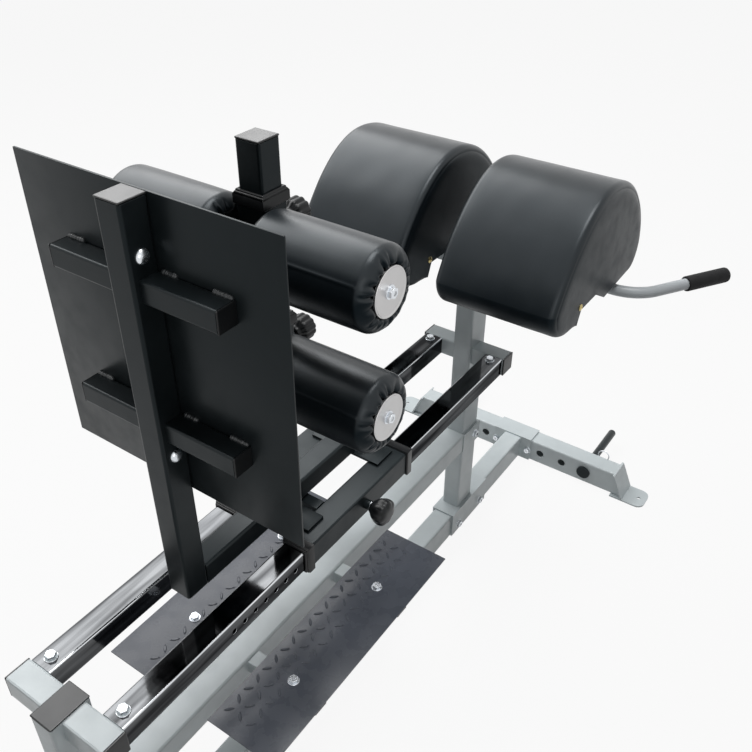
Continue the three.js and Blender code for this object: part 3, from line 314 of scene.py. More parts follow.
@dataclass(frozen=True)
class Finish:
    """A surface finish: its colours, gloss and fine grain."""

    name: str
    colour: Point
    shade: Point
    grain: Grain
    slot: str
    metal: float = 0.0
    roughness: float = 0.4
    roughness_play: float = 0.1
    coat: float = 0.0
    # Extra gloss coat on up-facing faces only: a painted top sheen that lightens the tops as light from
    # above would.
    worn_coat: float = 0.0
    coat_roughness: float = 0.1
    specular: float = 0.5
    rim_tint: Point = (1.0, 1.0, 1.0)
    # How far flat faces are darkened: a painted dark reflection, with rounded edges left at the plain
    # colour.
    canopy: float = 0.0
    mottle: float = 6.0
    grain_scale: float = 900.0
    grain_depth: float = 0.0001
    grain_strength: float = 0.3

    def material(self) -> bpy.types.Material:
        """Builds the node material.

        Returns:
            The material.
        """
        graph = Graph(self.name)
        where = graph.place()
        broad = graph.ramp(graph.noise(where, self.mottle, 4.0), ((0.35, 0.0), (0.65, 1.0)))
        smudge = graph.ramp(graph.noise(where, self.mottle * 5.0, 3.0), ((0.4, 0.0), (0.7, 1.0)))
        worn = broad * 0.65 + smudge * 0.35
        tone = graph.blend(worn, self.colour, self.shade)
        # Painted reflection: flat faces take a dark, streaked colour, as if reflecting a dark ceiling,
        # while rounded edges keep the plain chrome colour.
        if self.canopy:
            painted_reflection_streak = graph.ramp(graph.noise(graph.place((0.35, 5.0, 5.0)), 9.0, 2.0),
                                ((0.4, 0.88), (0.62, 1.0)))
            painted_reflection_colour = tuple(c * (1.0 - self.canopy) for c in self.shade)
            tone = graph.blend(graph.flatness() * painted_reflection_streak, tone, painted_reflection_colour)
        graph.plug(graph.shader.inputs["Base Color"], tone)
        rough = self.roughness + (smudge - 0.5) * self.roughness_play
        if self.grain is Grain.POWDER_COAT:
            height = graph.noise(where, self.grain_scale, 1.0)
        elif self.grain is Grain.LEATHERCLOTH:
            cell = graph.ramp(graph.cells(where, self.grain_scale), ((0.0, 0.0), (0.25, 1.0)))
            height = cell * 0.6 + graph.noise(where, self.grain_scale / 9.0, 3.0) * 1.2
        elif self.grain is Grain.FOAM:
            pores = graph.ramp(graph.cells(where, self.grain_scale), ((0.0, 0.0), (0.4, 1.0)))
            height = pores + graph.noise(where, self.grain_scale / 3.0, 4.0)
        elif self.grain is Grain.MOULDING:
            height = graph.noise(where, self.grain_scale, 5.0)
        else:
            drawn = graph.noise(graph.place((1.0, 26.0, 26.0)), self.grain_scale / 60.0, 2.0)
            rough = rough + (drawn - 0.5) * self.roughness_play
            height = drawn * 0.5 + graph.noise(where, self.grain_scale, 1.0) * 0.5
        normal = graph.bump(height, self.grain_depth, self.grain_strength)
        graph.plug(graph.shader.inputs["Roughness"], rough)
        graph.plug(graph.shader.inputs["Normal"], normal)
        graph.plug(graph.shader.inputs["Metallic"], self.metal)
        # Painted top sheen: the coat is laid on up-facing faces, so tops catch more light than the sides.
        coat = graph.facing_up(0.02, 0.45) * self.worn_coat + self.coat if self.worn_coat else self.coat
        graph.plug(graph.shader.inputs["Coat Weight"], coat)
        graph.plug(graph.shader.inputs["Coat Roughness"], self.coat_roughness)
        graph.plug(graph.shader.inputs["Specular IOR Level"], self.specular)
        graph.plug(graph.shader.inputs["Specular Tint"], self.rim_tint)
        return graph.material


SILVER = Finish("silver powder coat", (0.60, 0.655, 0.67), (0.52, 0.57, 0.585), Grain.POWDER_COAT,
                "frame_paint", roughness=0.34, specular=0.4, grain_depth=0.00008)
HANDLE = Finish("silver handle paint", (0.50, 0.53, 0.55), (0.44, 0.47, 0.49), Grain.POWDER_COAT,
                "handle_paint", roughness=0.34, specular=0.4, grain_depth=0.00006)
# Black powder coat with a slight painted top sheen on up-facing faces.
BLACK = Finish("black powder coat", (0.0100, 0.0135, 0.0150), (0.0140, 0.0180, 0.0200),
               Grain.POWDER_COAT, "carriage_paint", roughness=0.36, roughness_play=0.08, specular=0.16,
               rim_tint=(0.80, 0.94, 1.0), worn_coat=0.15, coat_roughness=0.25, grain_scale=1200.0,
               grain_depth=0.00008)
# Chrome plate whose flat faces carry a painted dark, streaked reflection; its rounded edges keep the bright
# chrome colour.
CHROME = Finish("chrome plate", (0.74, 0.76, 0.78), (0.58, 0.60, 0.63), Grain.PLATING,
                "rail_chrome", metal=1.0, roughness=0.08, roughness_play=0.06,
                rim_tint=(0.45, 0.45, 0.45), canopy=0.95,
                grain_depth=0.00002, grain_strength=0.08)
ZINC = Finish("zinc plate", (0.74, 0.77, 0.80), (0.66, 0.69, 0.73), Grain.PLATING, "zinc_plate",
              metal=1.0, roughness=0.26, roughness_play=0.06, mottle=14.0, grain_depth=0.00002,
              grain_strength=0.1)
PLASTIC = Finish("black moulded plastic", (0.0060, 0.0068, 0.0076), (0.0095, 0.0105, 0.0115),
                 Grain.MOULDING, "black_plastic", roughness=0.34, specular=0.25, grain_scale=1500.0,
                 grain_depth=0.00008)
# Black vinyl whose up-facing faces carry a painted top sheen, for broad light tops on the pads and rollers
# over dark undersides.
VINYL = Finish("black vinyl", (0.0056, 0.0082, 0.0102), (0.0086, 0.0116, 0.0142), Grain.LEATHERCLOTH,
               "pad_vinyl", roughness=0.36, roughness_play=0.08, specular=0.10,
               rim_tint=(0.50, 0.80, 1.0), worn_coat=0.6,
               coat_roughness=0.34, grain_scale=900.0, grain_depth=0.00016, grain_strength=0.3)
# Cap plastic with a painted top sheen, so the cap tops show light grey.
CAP = Finish("black cap plastic", (0.0080, 0.0090, 0.0100), (0.0120, 0.0130, 0.0140), Grain.MOULDING,
             "black_plastic", roughness=0.34, specular=0.25, worn_coat=0.4, coat_roughness=0.28,
             grain_scale=1500.0, grain_depth=0.00008)
# The beads are coloured lighter than the black paint around them: a painted glint on the bumpy welds.
WELD = Finish("painted weld bead", (0.030, 0.035, 0.038), (0.060, 0.066, 0.070), Grain.POWDER_COAT,
              "carriage_paint", roughness=0.3, mottle=60.0, grain_scale=1200.0, grain_depth=0.0001)
FOAM = Finish("black foam grip", (0.0080, 0.0082, 0.0090), (0.0140, 0.0142, 0.0150), Grain.FOAM,
              "grip_foam", roughness=0.7, specular=0.2, grain_scale=1400.0, grain_depth=0.0003,
              grain_strength=0.6)
TREAD = Finish("dark tread paint", (0.078, 0.087, 0.106), (0.090, 0.100, 0.122), Grain.POWDER_COAT,
               "tread_paint", roughness=0.3, roughness_play=0.12, specular=0.3, grain_depth=0.0001)
DISC = Finish("plain steel disc", (0.57, 0.56, 0.56), (0.50, 0.50, 0.50), Grain.PLATING, "zinc_plate",
              metal=1.0, roughness=0.38, roughness_play=0.03, mottle=3.0, grain_depth=0.00001,
              grain_strength=0.04)
BRASS = Finish("brass plated screw", (0.55, 0.46, 0.22), (0.42, 0.34, 0.16), Grain.PLATING, "zinc_plate",
               metal=1.0, roughness=0.3, grain_depth=0.00003, grain_strength=0.2)


class Workpiece:
    """A mesh under construction, in millimetres, with X as a station."""

    def __init__(self) -> None:
        """Starts an empty mesh."""
        self.mesh = bmesh.new()

    @staticmethod
    def turn(axis: Axis) -> Matrix:
        """The turn that lays +Z along an axis.

        Args:
            axis: The axis.

        Returns:
            The rotation.
        """
        if axis is Axis.X:
            return Matrix(((0, 0, 1, 0), (1, 0, 0, 0), (0, 1, 0, 0), (0, 0, 0, 1)))
        if axis is Axis.Y:
            return Matrix(((1, 0, 0, 0), (0, 0, 1, 0), (0, -1, 0, 0), (0, 0, 0, 1)))
        return Matrix.Identity(4)

    @staticmethod
    def spot(axis: Axis, along: float, a: float, b: float) -> Vector:
        """A point on a line that lies along an axis.

        Args:
            axis: The axis.
            along: The distance along it.
            a: The first of the two other places.
            b: The second of the two other places.

        Returns:
            The point.
        """
        if axis is Axis.X:
            return Vector((along, a, b))
        if axis is Axis.Y:
            return Vector((a, along, b))
        return Vector((a, b, along))

    def block(self, low: Sequence[float], high: Sequence[float], edge: float = 0.0) -> "Workpiece":
        """Adds a block with slightly broken edges.

        Args:
            low: The lowest corner.
            high: The highest corner.
            edge: The width of the broken edge.

        Returns:
            This workpiece.
        """
        a, b = Vector(low), Vector(high)
        size = b - a
        made = bmesh.ops.create_cube(self.mesh, size=1.0, matrix=Matrix.Translation((a + b) / 2)
                                     @ Matrix.Diagonal((*size, 1.0)))
        if edge:
            edges = list({e for v in made["verts"] for e in v.link_edges})
            bmesh.ops.bevel(self.mesh, geom=edges, offset=edge, segments=2, profile=0.5,
                            affect="EDGES", material=-1)
        return self

    def tube(self, axis: Axis, start: float, end: float, a: float, b: float, wide: float, high: float,
             wall: float, corner: float, steps: int = 4) -> "Workpiece":
        """Adds a square or rectangular tube with open ends.

        Args:
            axis: Its direction.
            start: Where it starts.
            end: Where it ends.
            a: Its centre on the first of the two other axes.
            b: Its centre on the second of the two other axes.
            wide: Its size on the first of the two other axes.
            high: Its size on the second of the two other axes.
            wall: The wall's thickness.
            corner: The outer corner radius.
            steps: The segments in a corner.

        Returns:
            This workpiece.
        """
        centre = self.spot(axis, (start + end) / 2, a, b)
        size = self.spot(axis, end - start, wide, high)
        made = bmesh.ops.create_cube(self.mesh, size=1.0, matrix=Matrix.Translation(centre)
                                     @ Matrix.Diagonal((*size, 1.0)))
        way = self.spot(axis, 1.0, 0.0, 0.0)
        edges = list({e for v in made["verts"] for e in v.link_edges})
        long = [e for e in edges if abs((e.verts[0].co - e.verts[1].co).normalized().dot(way)) > 0.9]
        verts = set(made["verts"])
        bent = bmesh.ops.bevel(self.mesh, geom=long, offset=corner, segments=steps, profile=0.5,
                               affect="EDGES", material=-1)
        verts = {v for v in verts if v.is_valid} | set(bent["verts"])
        faces = list({f for v in verts for f in v.link_faces})
        ends = [f for f in faces if abs(f.normal.dot(way)) > 0.9 or abs(f.calc_center_median().dot(way)
                - start) < 0.01 or abs(f.calc_center_median().dot(way) - end) < 0.01]
        bmesh.ops.delete(self.mesh, geom=ends, context="FACES_ONLY")
        skin = [f for f in faces if f.is_valid]
        bmesh.ops.recalc_face_normals(self.mesh, faces=skin)
        outward = sum(f.normal.dot(f.calc_center_median() - centre) for f in skin)
        if outward < 0:
            bmesh.ops.reverse_faces(self.mesh, faces=skin)
        bmesh.ops.solidify(self.mesh, geom=skin, thickness=wall)
        return self

    def bar(self, axis: Axis, start: float, end: float, a: float, b: float, radius: float,
            sides: int = 32, tip: float | None = None) -> "Workpiece":
        """Adds a round or many-sided bar.

        Args:
            axis: Its direction.
            start: Where it starts.
            end: Where it ends.
            a: Its centre on the first of the two other axes.
            b: Its centre on the second of the two other axes.
            radius: Its radius.
            sides: The number of sides.
            tip: The radius at the end, where it differs.

        Returns:
            This workpiece.
        """
        centre = self.spot(axis, (start + end) / 2, a, b)
        bmesh.ops.create_cone(self.mesh, cap_ends=True, cap_tris=False, segments=sides, radius1=radius,
                              radius2=radius if tip is None else tip, depth=end - start,
                              matrix=Matrix.Translation(centre) @ self.turn(axis))
        return self

    def turned(self, profile: Sequence[tuple[float, float]], axis: Axis, place: Sequence[float],
               steps: int = 48, flip: bool = False) -> "Workpiece":
        """Adds a turned shape from a profile of radius and distance along the axis.

        Args:
            profile: Pairs of radius and distance.
            axis: The direction of the axis.
            place: Where the profile's zero lies.
            steps: The number of steps in the turn.
            flip: Whether the distances run against the axis.

        Returns:
            This workpiece.
        """
        sign = -1.0 if flip else 1.0
        verts = [self.mesh.verts.new((radius, 0.0, sign * along)) for radius, along in profile]
        edges = [self.mesh.edges.new(pair) for pair in zip(verts, verts[1:])]
        made = bmesh.ops.spin(self.mesh, geom=verts + edges, cent=(0, 0, 0), axis=(0, 0, 1),
                              angle=math.tau, steps=steps, use_merge=True)
        known = {v for v in verts if v.is_valid}
        known |= {v for v in made["geom_last"] if isinstance(v, bmesh.types.BMVert) and v.is_valid}
        island = self.island(known)
        bmesh.ops.remove_doubles(self.mesh, verts=island, dist=0.001)
        island = [v for v in island if v.is_valid]
        bmesh.ops.transform(self.mesh, matrix=Matrix.Translation(Vector(place)) @ self.turn(axis),
                            verts=island)
        bmesh.ops.recalc_face_normals(self.mesh, faces=list({f for v in island for f in v.link_faces}))
        return self

    @staticmethod
    def island(seeds: Iterable[bmesh.types.BMVert]) -> list[bmesh.types.BMVert]:
        """All vertices joined to the given ones.

        Args:
            seeds: Some vertices.

        Returns:
            The vertices of their shells.
        """
        seen = set(seeds)
        stack = list(seen)
        while stack:
            for edge in stack.pop().link_edges:
                for vert in edge.verts:
                    if vert not in seen:
                        seen.add(vert)
                        stack.append(vert)
        return list(seen)

    def prism(self, outline: Sequence[tuple[float, float]], axis: Axis, start: float, end: float,
              edge: float = 0.0) -> "Workpiece":
        """Adds a flat outline drawn out along an axis.

        Args:
            outline: Points on the two other axes, in their order.
            axis: The direction of the depth.
            start: Where the depth starts.
            end: Where it ends.
            edge: The width of the broken edge.

        Returns:
            This workpiece.
        """
        verts = [self.mesh.verts.new(self.spot(axis, start, a, b)) for a, b in outline]
        face = bmesh.ops.contextual_create(self.mesh, geom=verts)["faces"][0]
        drawn = bmesh.ops.extrude_face_region(self.mesh, geom=[face])["geom"]
        moved = [g for g in drawn if isinstance(g, bmesh.types.BMVert)]
        bmesh.ops.translate(self.mesh, vec=self.spot(axis, end - start, 0.0, 0.0), verts=moved)
        island = self.island(moved)
        faces = list({f for v in island for f in v.link_faces})
        bmesh.ops.recalc_face_normals(self.mesh, faces=faces)
        if edge:
            edges = [e for e in {e for v in island for e in v.link_edges}
                     if e.calc_face_angle(0.0) > math.radians(35)]
            bmesh.ops.bevel(self.mesh, geom=edges, offset=edge, segments=2, profile=0.5,
                            affect="EDGES", material=-1)
        return self

    def swept(self, path: Sequence[Point], radius: float, sides: int = 24,
              closed: bool = False) -> "Workpiece":
        """Adds a round rod along a path.

        Args:
            path: The points of its centre line.
            radius: Its radius.
            sides: The number of sides.
            closed: Whether the path closes on itself.

        Returns:
            This workpiece.
        """
        points = [Vector(p) for p in path]
        count = len(points)
        rings = []
        for i, point in enumerate(points):
            before = points[(i - 1) % count] if closed or i else point
            after = points[(i + 1) % count] if closed or i < count - 1 else point
            way = (after - before).normalized()
            side = way.cross(Vector((0.0, 0.0, 1.0)))
            if side.length < 0.2:
                side = way.cross(Vector((0.0, 1.0, 0.0)))
            side.normalize()
            up = side.cross(way)
            turn = Matrix((side, up, way)).transposed().to_4x4()
            made = bmesh.ops.create_circle(self.mesh, cap_ends=False, segments=sides, radius=radius,
                                           matrix=Matrix.Translation(point) @ turn)
            rings.append(list({e for v in made["verts"] for e in v.link_edges}))
        pairs = list(zip(rings, rings[1:])) + ([(rings[-1], rings[0])] if closed else [])
        for first, second in pairs:
            bmesh.ops.bridge_loops(self.mesh, edges=first + second)
        if not closed:
            for ring in (rings[0], rings[-1]):
                bmesh.ops.contextual_create(self.mesh, geom=ring)
        island = self.island(v for e in rings[0] for v in e.verts)
        bmesh.ops.recalc_face_normals(self.mesh, faces=list({f for v in island for f in v.link_faces}))
        return self

    def hex_bolt(self, axis: Axis, seat: float, direction: int, a: float, b: float,
                 across: float = 17.0, high: float = 7.0, washer: float = 12.0) -> "Workpiece":
        """Adds a hexagon head with its washer.

        Args:
            axis: The bolt's direction.
            seat: The face that it bears on.
            direction: 1 or -1, the way that the head points.
            a: Its centre on the first of the two other axes.
            b: Its centre on the second of the two other axes.
            across: The width across flats.
            high: The head's height.
            washer: The washer's radius.

        Returns:
            This workpiece.
        """
        lift = 2.0
        corner = across / math.sqrt(3)
        place = self.spot(axis, seat, a, b)
        back = direction < 0
        self.turned([(0.0, -0.4), (washer, -0.4), (washer, lift * 0.7), (washer - 0.6, lift),
                     (0.0, lift)], axis, place, 32, back)
        low = seat + direction * lift
        mid = seat + direction * (lift + high * 0.82)
        top = seat + direction * (lift + high)
        self.bar(axis, min(low, mid), max(low, mid), a, b, corner, 6)
        if back:
            self.bar(axis, top, mid, a, b, corner * 0.86, 6, corner)
        else:
            self.bar(axis, mid, top, a, b, corner, 6, corner * 0.86)
        self.bar(axis, min(low, top), max(low, top) + (0.5 if not back else 0.0), a, b, 4.6, 20)
        return self

    def shift(self, offset: Sequence[float]) -> "Workpiece":
        """Moves everything.

        Args:
            offset: The move.

        Returns:
            This workpiece.
        """
        bmesh.ops.translate(self.mesh, vec=Vector(offset), verts=self.mesh.verts[:])
        return self

    def turn_all(self, angle: float, axis: Axis, about: Sequence[float]) -> "Workpiece":
        """Turns everything about a line.

        Args:
            angle: The angle in radians.
            axis: The line's direction.
            about: A point on it.

        Returns:
            This workpiece.
        """
        bmesh.ops.rotate(self.mesh, cent=Vector(about), matrix=Matrix.Rotation(angle, 3, axis.name),
                         verts=self.mesh.verts[:])
        return self

    def mirrored(self) -> "Workpiece":
        """Turns a left piece into a right one."""
        bmesh.ops.scale(self.mesh, vec=Vector((1.0, -1.0, 1.0)), verts=self.mesh.verts[:])
        bmesh.ops.reverse_faces(self.mesh, faces=self.mesh.faces[:])
        return self


class Fitter:
    """Makes finished objects of workpieces and fits them to the machine."""

    def __init__(self) -> None:
        """Starts with no materials and no pieces."""
        self.materials: dict[str, bpy.types.Material] = {}
        self.count = 0

    def material(self, finish: Finish) -> bpy.types.Material:
        """The material of a finish, made once.

        Args:
            finish: The finish.

        Returns:
            The material.
        """
        if finish.name not in self.materials:
            self.materials[finish.name] = finish.material()
        return self.materials[finish.name]

    def fit(self, work: Workpiece, name: str, finish: Finish, body: str, *replaced: str,
            smooth: float = 40.0, edge: float = 0.5, drilled: Workpiece | None = None,
            rounds: int = 0) -> bpy.types.Object:
        """Finishes a workpiece as a piece of the machine.

        Args:
            work: The workpiece.
            name: The piece's name.
            finish: Its finish.
            body: The body that it rides on.
            replaced: The CAD nodes that it stands for.
            smooth: The angle under which faces are shaded smooth, in degrees.
            edge: The width of the broken edges, or 0 for none.
            drilled: A workpiece to cut away.
            rounds: Levels of subdivision.

        Returns:
            The object.
        """
        piece = self.to_object(work, name)
        if drilled is not None:
            self.drill(piece, drilled)
        for polygon in piece.data.polygons:
            polygon.use_smooth = True
        if smooth < 180.0:
            piece.data.set_sharp_from_angle(angle=math.radians(smooth))
        if edge:
            self.keep_flats(piece)
            bevel = piece.modifiers.new("broken edges", "BEVEL")
            bevel.width = edge * MM
            bevel.segments = 2
            bevel.limit_method = "ANGLE"
            bevel.angle_limit = math.radians(50)
            bevel.harden_normals = True
        if rounds:
            softer = piece.modifiers.new("rounding", "SUBSURF")
            softer.levels = rounds
            softer.render_levels = rounds
        piece.data.materials.append(self.material(finish))
        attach(piece, body)
        if replaced:
            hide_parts(*replaced)
        self.count += 1
        LOG.info("fitted %s: %d faces", name, len(piece.data.polygons))
        return piece

    @staticmethod
    def keep_flats(piece: bpy.types.Object) -> None:
        """Keeps wide flat faces flat in the shading, beside the narrow faces of a rounded corner.

        Args:
            piece: The piece.
        """
        mesh = bmesh.new()
        mesh.from_mesh(piece.data)
        for edge in mesh.edges:
            areas = sorted(face.calc_area() for face in edge.link_faces)
            if len(areas) == 2 and areas[1] > 6.0 * areas[0]:
                edge.smooth = False
        mesh.to_mesh(piece.data)
        mesh.free()

    @staticmethod
    def to_object(work: Workpiece, name: str) -> bpy.types.Object:
        """Turns a workpiece into an object in metres in the machine's frame.

        Args:
            work: The workpiece.
            name: The object's name.

        Returns:
            The object.
        """
        everything = work.mesh.verts[:]
        bmesh.ops.translate(work.mesh, vec=Vector((-ORIGIN_STATION, 0.0, 0.0)), verts=everything)
        bmesh.ops.scale(work.mesh, vec=Vector((MM, MM, MM)), verts=everything)
        data = bpy.data.meshes.new(name)
        work.mesh.to_mesh(data)
        work.mesh.free()
        piece = bpy.data.objects.new(name, data)
        bpy.context.scene.collection.objects.link(piece)
        return piece

    def drill(self, piece: bpy.types.Object, drilled: Workpiece) -> None:
        """Cuts a workpiece out of an object.

        Args:
            piece: The object.
            drilled: What is cut away.
        """
        tool = self.to_object(drilled, piece.name + "_drill")
        cut = piece.modifiers.new("holes", "BOOLEAN")
        cut.operation = "DIFFERENCE"
        cut.solver = "EXACT"
        cut.object = tool
        bpy.context.view_layer.update()
        graph = bpy.context.evaluated_depsgraph_get()
        result = bpy.data.meshes.new_from_object(piece.evaluated_get(graph))
        piece.modifiers.remove(cut)
        old = piece.data
        piece.data = result
        bpy.data.meshes.remove(old)
        bpy.data.objects.remove(tool)

    def paint(self, finish: Finish, *nodes: str) -> None:
        """Gives CAD nodes a finish.

        Args:
            finish: The finish.
            nodes: The nodes.
        """
        for name in nodes:
            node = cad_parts[name]
            node.data.materials.clear()
            node.data.materials.append(self.material(finish))


def end_cap(work: Workpiece, axis: Axis, end: float, direction: int, a: float, b: float, wide: float,
            high: float, flange: float = 4.0) -> Workpiece:
    """Adds a moulded plug for the end of a square tube.

    Args:
        work: The workpiece that gets it.
        axis: The tube's direction.
        end: The tube's end.
        direction: 1 or -1, the way out of the tube.
        a: The tube's centre on the first of the two other axes.
        b: The tube's centre on the second of the two other axes.
        wide: The tube's size on the first of the two other axes.
        high: The tube's size on the second of the two other axes.
        flange: The flange's thickness.

    Returns:
        The workpiece.
    """
    outer = end + direction * flange
    half = Workpiece.spot(axis, 0.0, wide / 2, high / 2)
    low = Workpiece.spot(axis, min(end + direction * 0.3, outer), a, b) - half
    top = Workpiece.spot(axis, max(end + direction * 0.3, outer), a, b) + half
    return work.block(low, top, flange * 0.45)


@dataclass
class Fasteners:
    """The zinc bolts of the floor frame, set over their seats in the CAD."""

    saddle_stations: tuple[float, ...] = (-86.0, 42.0, 1299.0, 1427.0)
    saddle_seat: float = 35.3
    saddle_height: float = 30.6
    bracket_stations: tuple[float, ...] = (-17.0, 1358.0)
    bracket_seat: float = 32.5
    bracket_height: float = 344.0
    rail_stations: tuple[float, ...] = (53.0, 1288.0)
    rail_seat: float = 659.5
    rail_offset: float = 90.5
    foot_offset: float = 58.0
    foot_height: float = 45.0
    front_foot_seat: float = 1717.0
    rear_foot_seat: float = -129.0
    tread_stations: tuple[float, ...] = (403.0, 705.0)
    tread_seat: float = 372.0
    tread_offset: float = 140.3

    def build(self, fitter: Fitter) -> None:
        """Builds every bolt group.

        Args:
            fitter: Makes the finished objects.
        """
        saddles = Workpiece()
        for station in self.saddle_stations:
            for side in SIDES:
                saddles.hex_bolt(Axis.Y, side.value * self.saddle_seat, side.value, station,
                                 self.saddle_height, washer=12.3, high=7.4, across=17.6)
        fitter.fit(saddles, "saddle_bolts", ZINC, "frame", edge=0.3)
        brackets = Workpiece()
        for station in self.bracket_stations:
            for side in SIDES:
                brackets.hex_bolt(Axis.Y, side.value * self.bracket_seat, side.value, station,
                                  self.bracket_height, washer=12.3, high=7.4, across=17.6)
        fitter.fit(brackets, "mid_bracket_bolts", ZINC, "frame", edge=0.3)
        rails = Workpiece()
        for station in self.rail_stations:
            for side in SIDES:
                rails.hex_bolt(Axis.Z, self.rail_seat, 1, station, side.value * self.rail_offset,
                               washer=12.3, high=7.7, across=17.6)
        fitter.fit(rails, "rail_bolts", ZINC, "frame", edge=0.3)
        feet = Workpiece()
        for side in SIDES:
            place = side.value * self.foot_offset
            feet.hex_bolt(Axis.X, self.front_foot_seat, -1, place, self.foot_height, washer=12.3,
                          high=7.4, across=17.6)
            feet.hex_bolt(Axis.X, self.rear_foot_seat, 1, place, self.foot_height, washer=12.3,
                          high=7.4, across=17.6)
        fitter.fit(feet, "foot_bolts", ZINC, "frame", edge=0.3)
        treads = Workpiece()
        for station in self.tread_stations:
            for side in SIDES:
                treads.hex_bolt(Axis.Z, self.tread_seat, 1, station, side.value * self.tread_offset,
                                washer=12.3, high=7.4, across=17.6)
        fitter.fit(treads, "tread_bolts", ZINC, "frame", edge=0.3)


@dataclass
class FloorFrame:
    """The silver floor frame: its painted tubes, moulded end caps and band pegs."""

    cross_stations: tuple[float, ...] = (6.0, 1335.0)
    cross_end: float = 118.0
    cross_size: float = 50.0
    rail_middle: float = 634.5
    beam_station: float = 1356.0
    beam_end: float = 265.0
    beam_middle: float = 888.5
    beam_height: float = 25.0
    arm_stations: tuple[float, ...] = (403.0, 705.0)
    arm_end: float = 208.0
    arm_middle: float = 351.0
    arm_size: float = 36.0
    upright_depth: float = 80.0
    upright_width: float = 52.0
    rear_upright_top: float = 659.5
    peg_offset: float = 258.0
    peg_height: float = 45.0
    peg_start: float = 1722.0
    peg_length: float = 250.0
    peg_radius: float = 12.5
    peg_head: float = 22.0
    lock_station: float = 1795.5
    lock_lean: float = 45.0
    lock_neck: float = 18.0
    ring_radius: float = 18.0

    def build(self, fitter: Fitter) -> None:
        """Paints the frame's tubes and builds its caps and pegs.

        Args:
            fitter: Makes the finished objects.
        """
        fitter.paint(SILVER, "base_tube", "front_foot", "rear_foot", "front_foot_saddle",
                     "rear_foot_saddle", "front_upright", "rear_upright", "mid_tube",
                     "front_cross_member_left", "front_cross_member_right",
                     "rear_cross_member_left", "rear_cross_member_right", "pad_beam")
        self.caps(fitter)
        for side in SIDES:
            self.peg(fitter, side)

    def caps(self, fitter: Fitter) -> None:
        """Builds the moulded caps of the open tube ends.

        Args:
            fitter: Makes the finished objects.
        """
        ends = Workpiece()
        for side in SIDES:
            for station in self.cross_stations:
                end_cap(ends, Axis.Y, side.value * self.cross_end, side.value, station,
                        self.rail_middle, self.cross_size, self.cross_size)
            end_cap(ends, Axis.Y, side.value * self.beam_end, side.value, self.beam_station,
                    self.beam_middle, self.cross_size, self.beam_height)
            for station in self.arm_stations:
                end_cap(ends, Axis.Y, side.value * self.arm_end, side.value, station,
                        self.arm_middle, self.arm_size, self.arm_size, 3.0)
        fitter.fit(ends, "frame_tube_end_caps", CAP, "frame")
        top = end_cap(Workpiece(), Axis.Z, self.rear_upright_top, 1, 0.0, 0.0, self.upright_depth,
                      self.upright_width)
        fitter.fit(top, "rear_upright_top_cap", CAP, "frame", "rear_upright_cap")

    def peg(self, fitter: Fitter, side: Side) -> None:
        """Builds one band peg with its ringed lock pin.

        Args:
            fitter: Makes the finished objects.
            side: The side of the machine.
        """
        offset = side.value * self.peg_offset
        r, head, end = self.peg_radius, self.peg_head, self.peg_length
        rod = Workpiece().turned(
            [(0.0, -7.0), (head - 1.6, -7.0), (head, -5.4), (head, -1.2), (head - 0.9, -0.3), (r, -0.3),
             (r, end - 5.0), (r - 1.0, end - 2.4), (r - 3.6, end), (0.0, end)],
            Axis.X, (self.peg_start, offset, self.peg_height), 56)
        fitter.fit(rod, f"band_peg_rod_{side.word}", BLACK, "frame", f"band_peg_{side.word}", edge=0.0)
        eye = r + self.lock_neck
        pin = Workpiece().turned(
            [(0.0, -17.5), (1.7, -17.5), (2.5, -16.3), (2.5, eye - 7.0), (4.4, eye - 6.0),
             (4.4, eye - 0.6), (2.8, eye + 1.4), (0.0, eye + 1.4)],
            Axis.Z, (self.lock_station, offset, self.peg_height), 20)
        ring = [(self.lock_station, offset + self.ring_radius * math.cos(a), self.peg_height
                 + eye + self.ring_radius * (1.0 + math.sin(a)))
                for a in (math.tau * i / 40 for i in range(40))]
        pin.swept(ring, 1.6, 10, closed=True)
        pin.turn_all(-side.value * math.radians(self.lock_lean), Axis.X,
                     (self.lock_station, offset, self.peg_height))
        fitter.fit(pin, f"peg_lock_ring_{side.word}", ZINC, "frame", f"peg_lock_pin_{side.word}",
                   edge=0.0)


@dataclass
class Rails:
    """The two chrome rails, with the row of holes in the right one."""

    start: float = 31.0
    end: float = 1310.0
    offset: float = 90.5
    middle: float = 634.5
    size: float = 50.0
    wall: float = 2.5
    corner: float = 4.0
    pin_station: float = 692.5
    pitch: float = 29.0
    behind: int = 14
    ahead: int = 4
    hole_radius: float = 5.5

    def build(self, fitter: Fitter) -> None:
        """Builds both rails.

        Args:
            fitter: Makes the finished objects.
        """
        for side in SIDES:
            tube = Workpiece().tube(Axis.X, self.start, self.end, side.value * self.offset, self.middle,
                                    self.size, self.size, self.wall, self.corner)
            holes = self.holes() if side is Side.RIGHT else None
            fitter.fit(tube, f"chrome_rail_{side.word}", CHROME, "frame", f"rail_{side.word}",
                       drilled=holes, edge=0.4)

    def holes(self) -> Workpiece:
        """The drill for the row of adjustment holes.

        Returns:
            The drill.
        """
        face = -self.offset - self.size / 2
        drill = Workpiece()
        for i in range(-self.behind, self.ahead + 1):
            drill.bar(Axis.Y, face - 6.0, face + 6.0, self.pin_station + self.pitch * i, self.middle,
                      self.hole_radius, 24)
        return drill


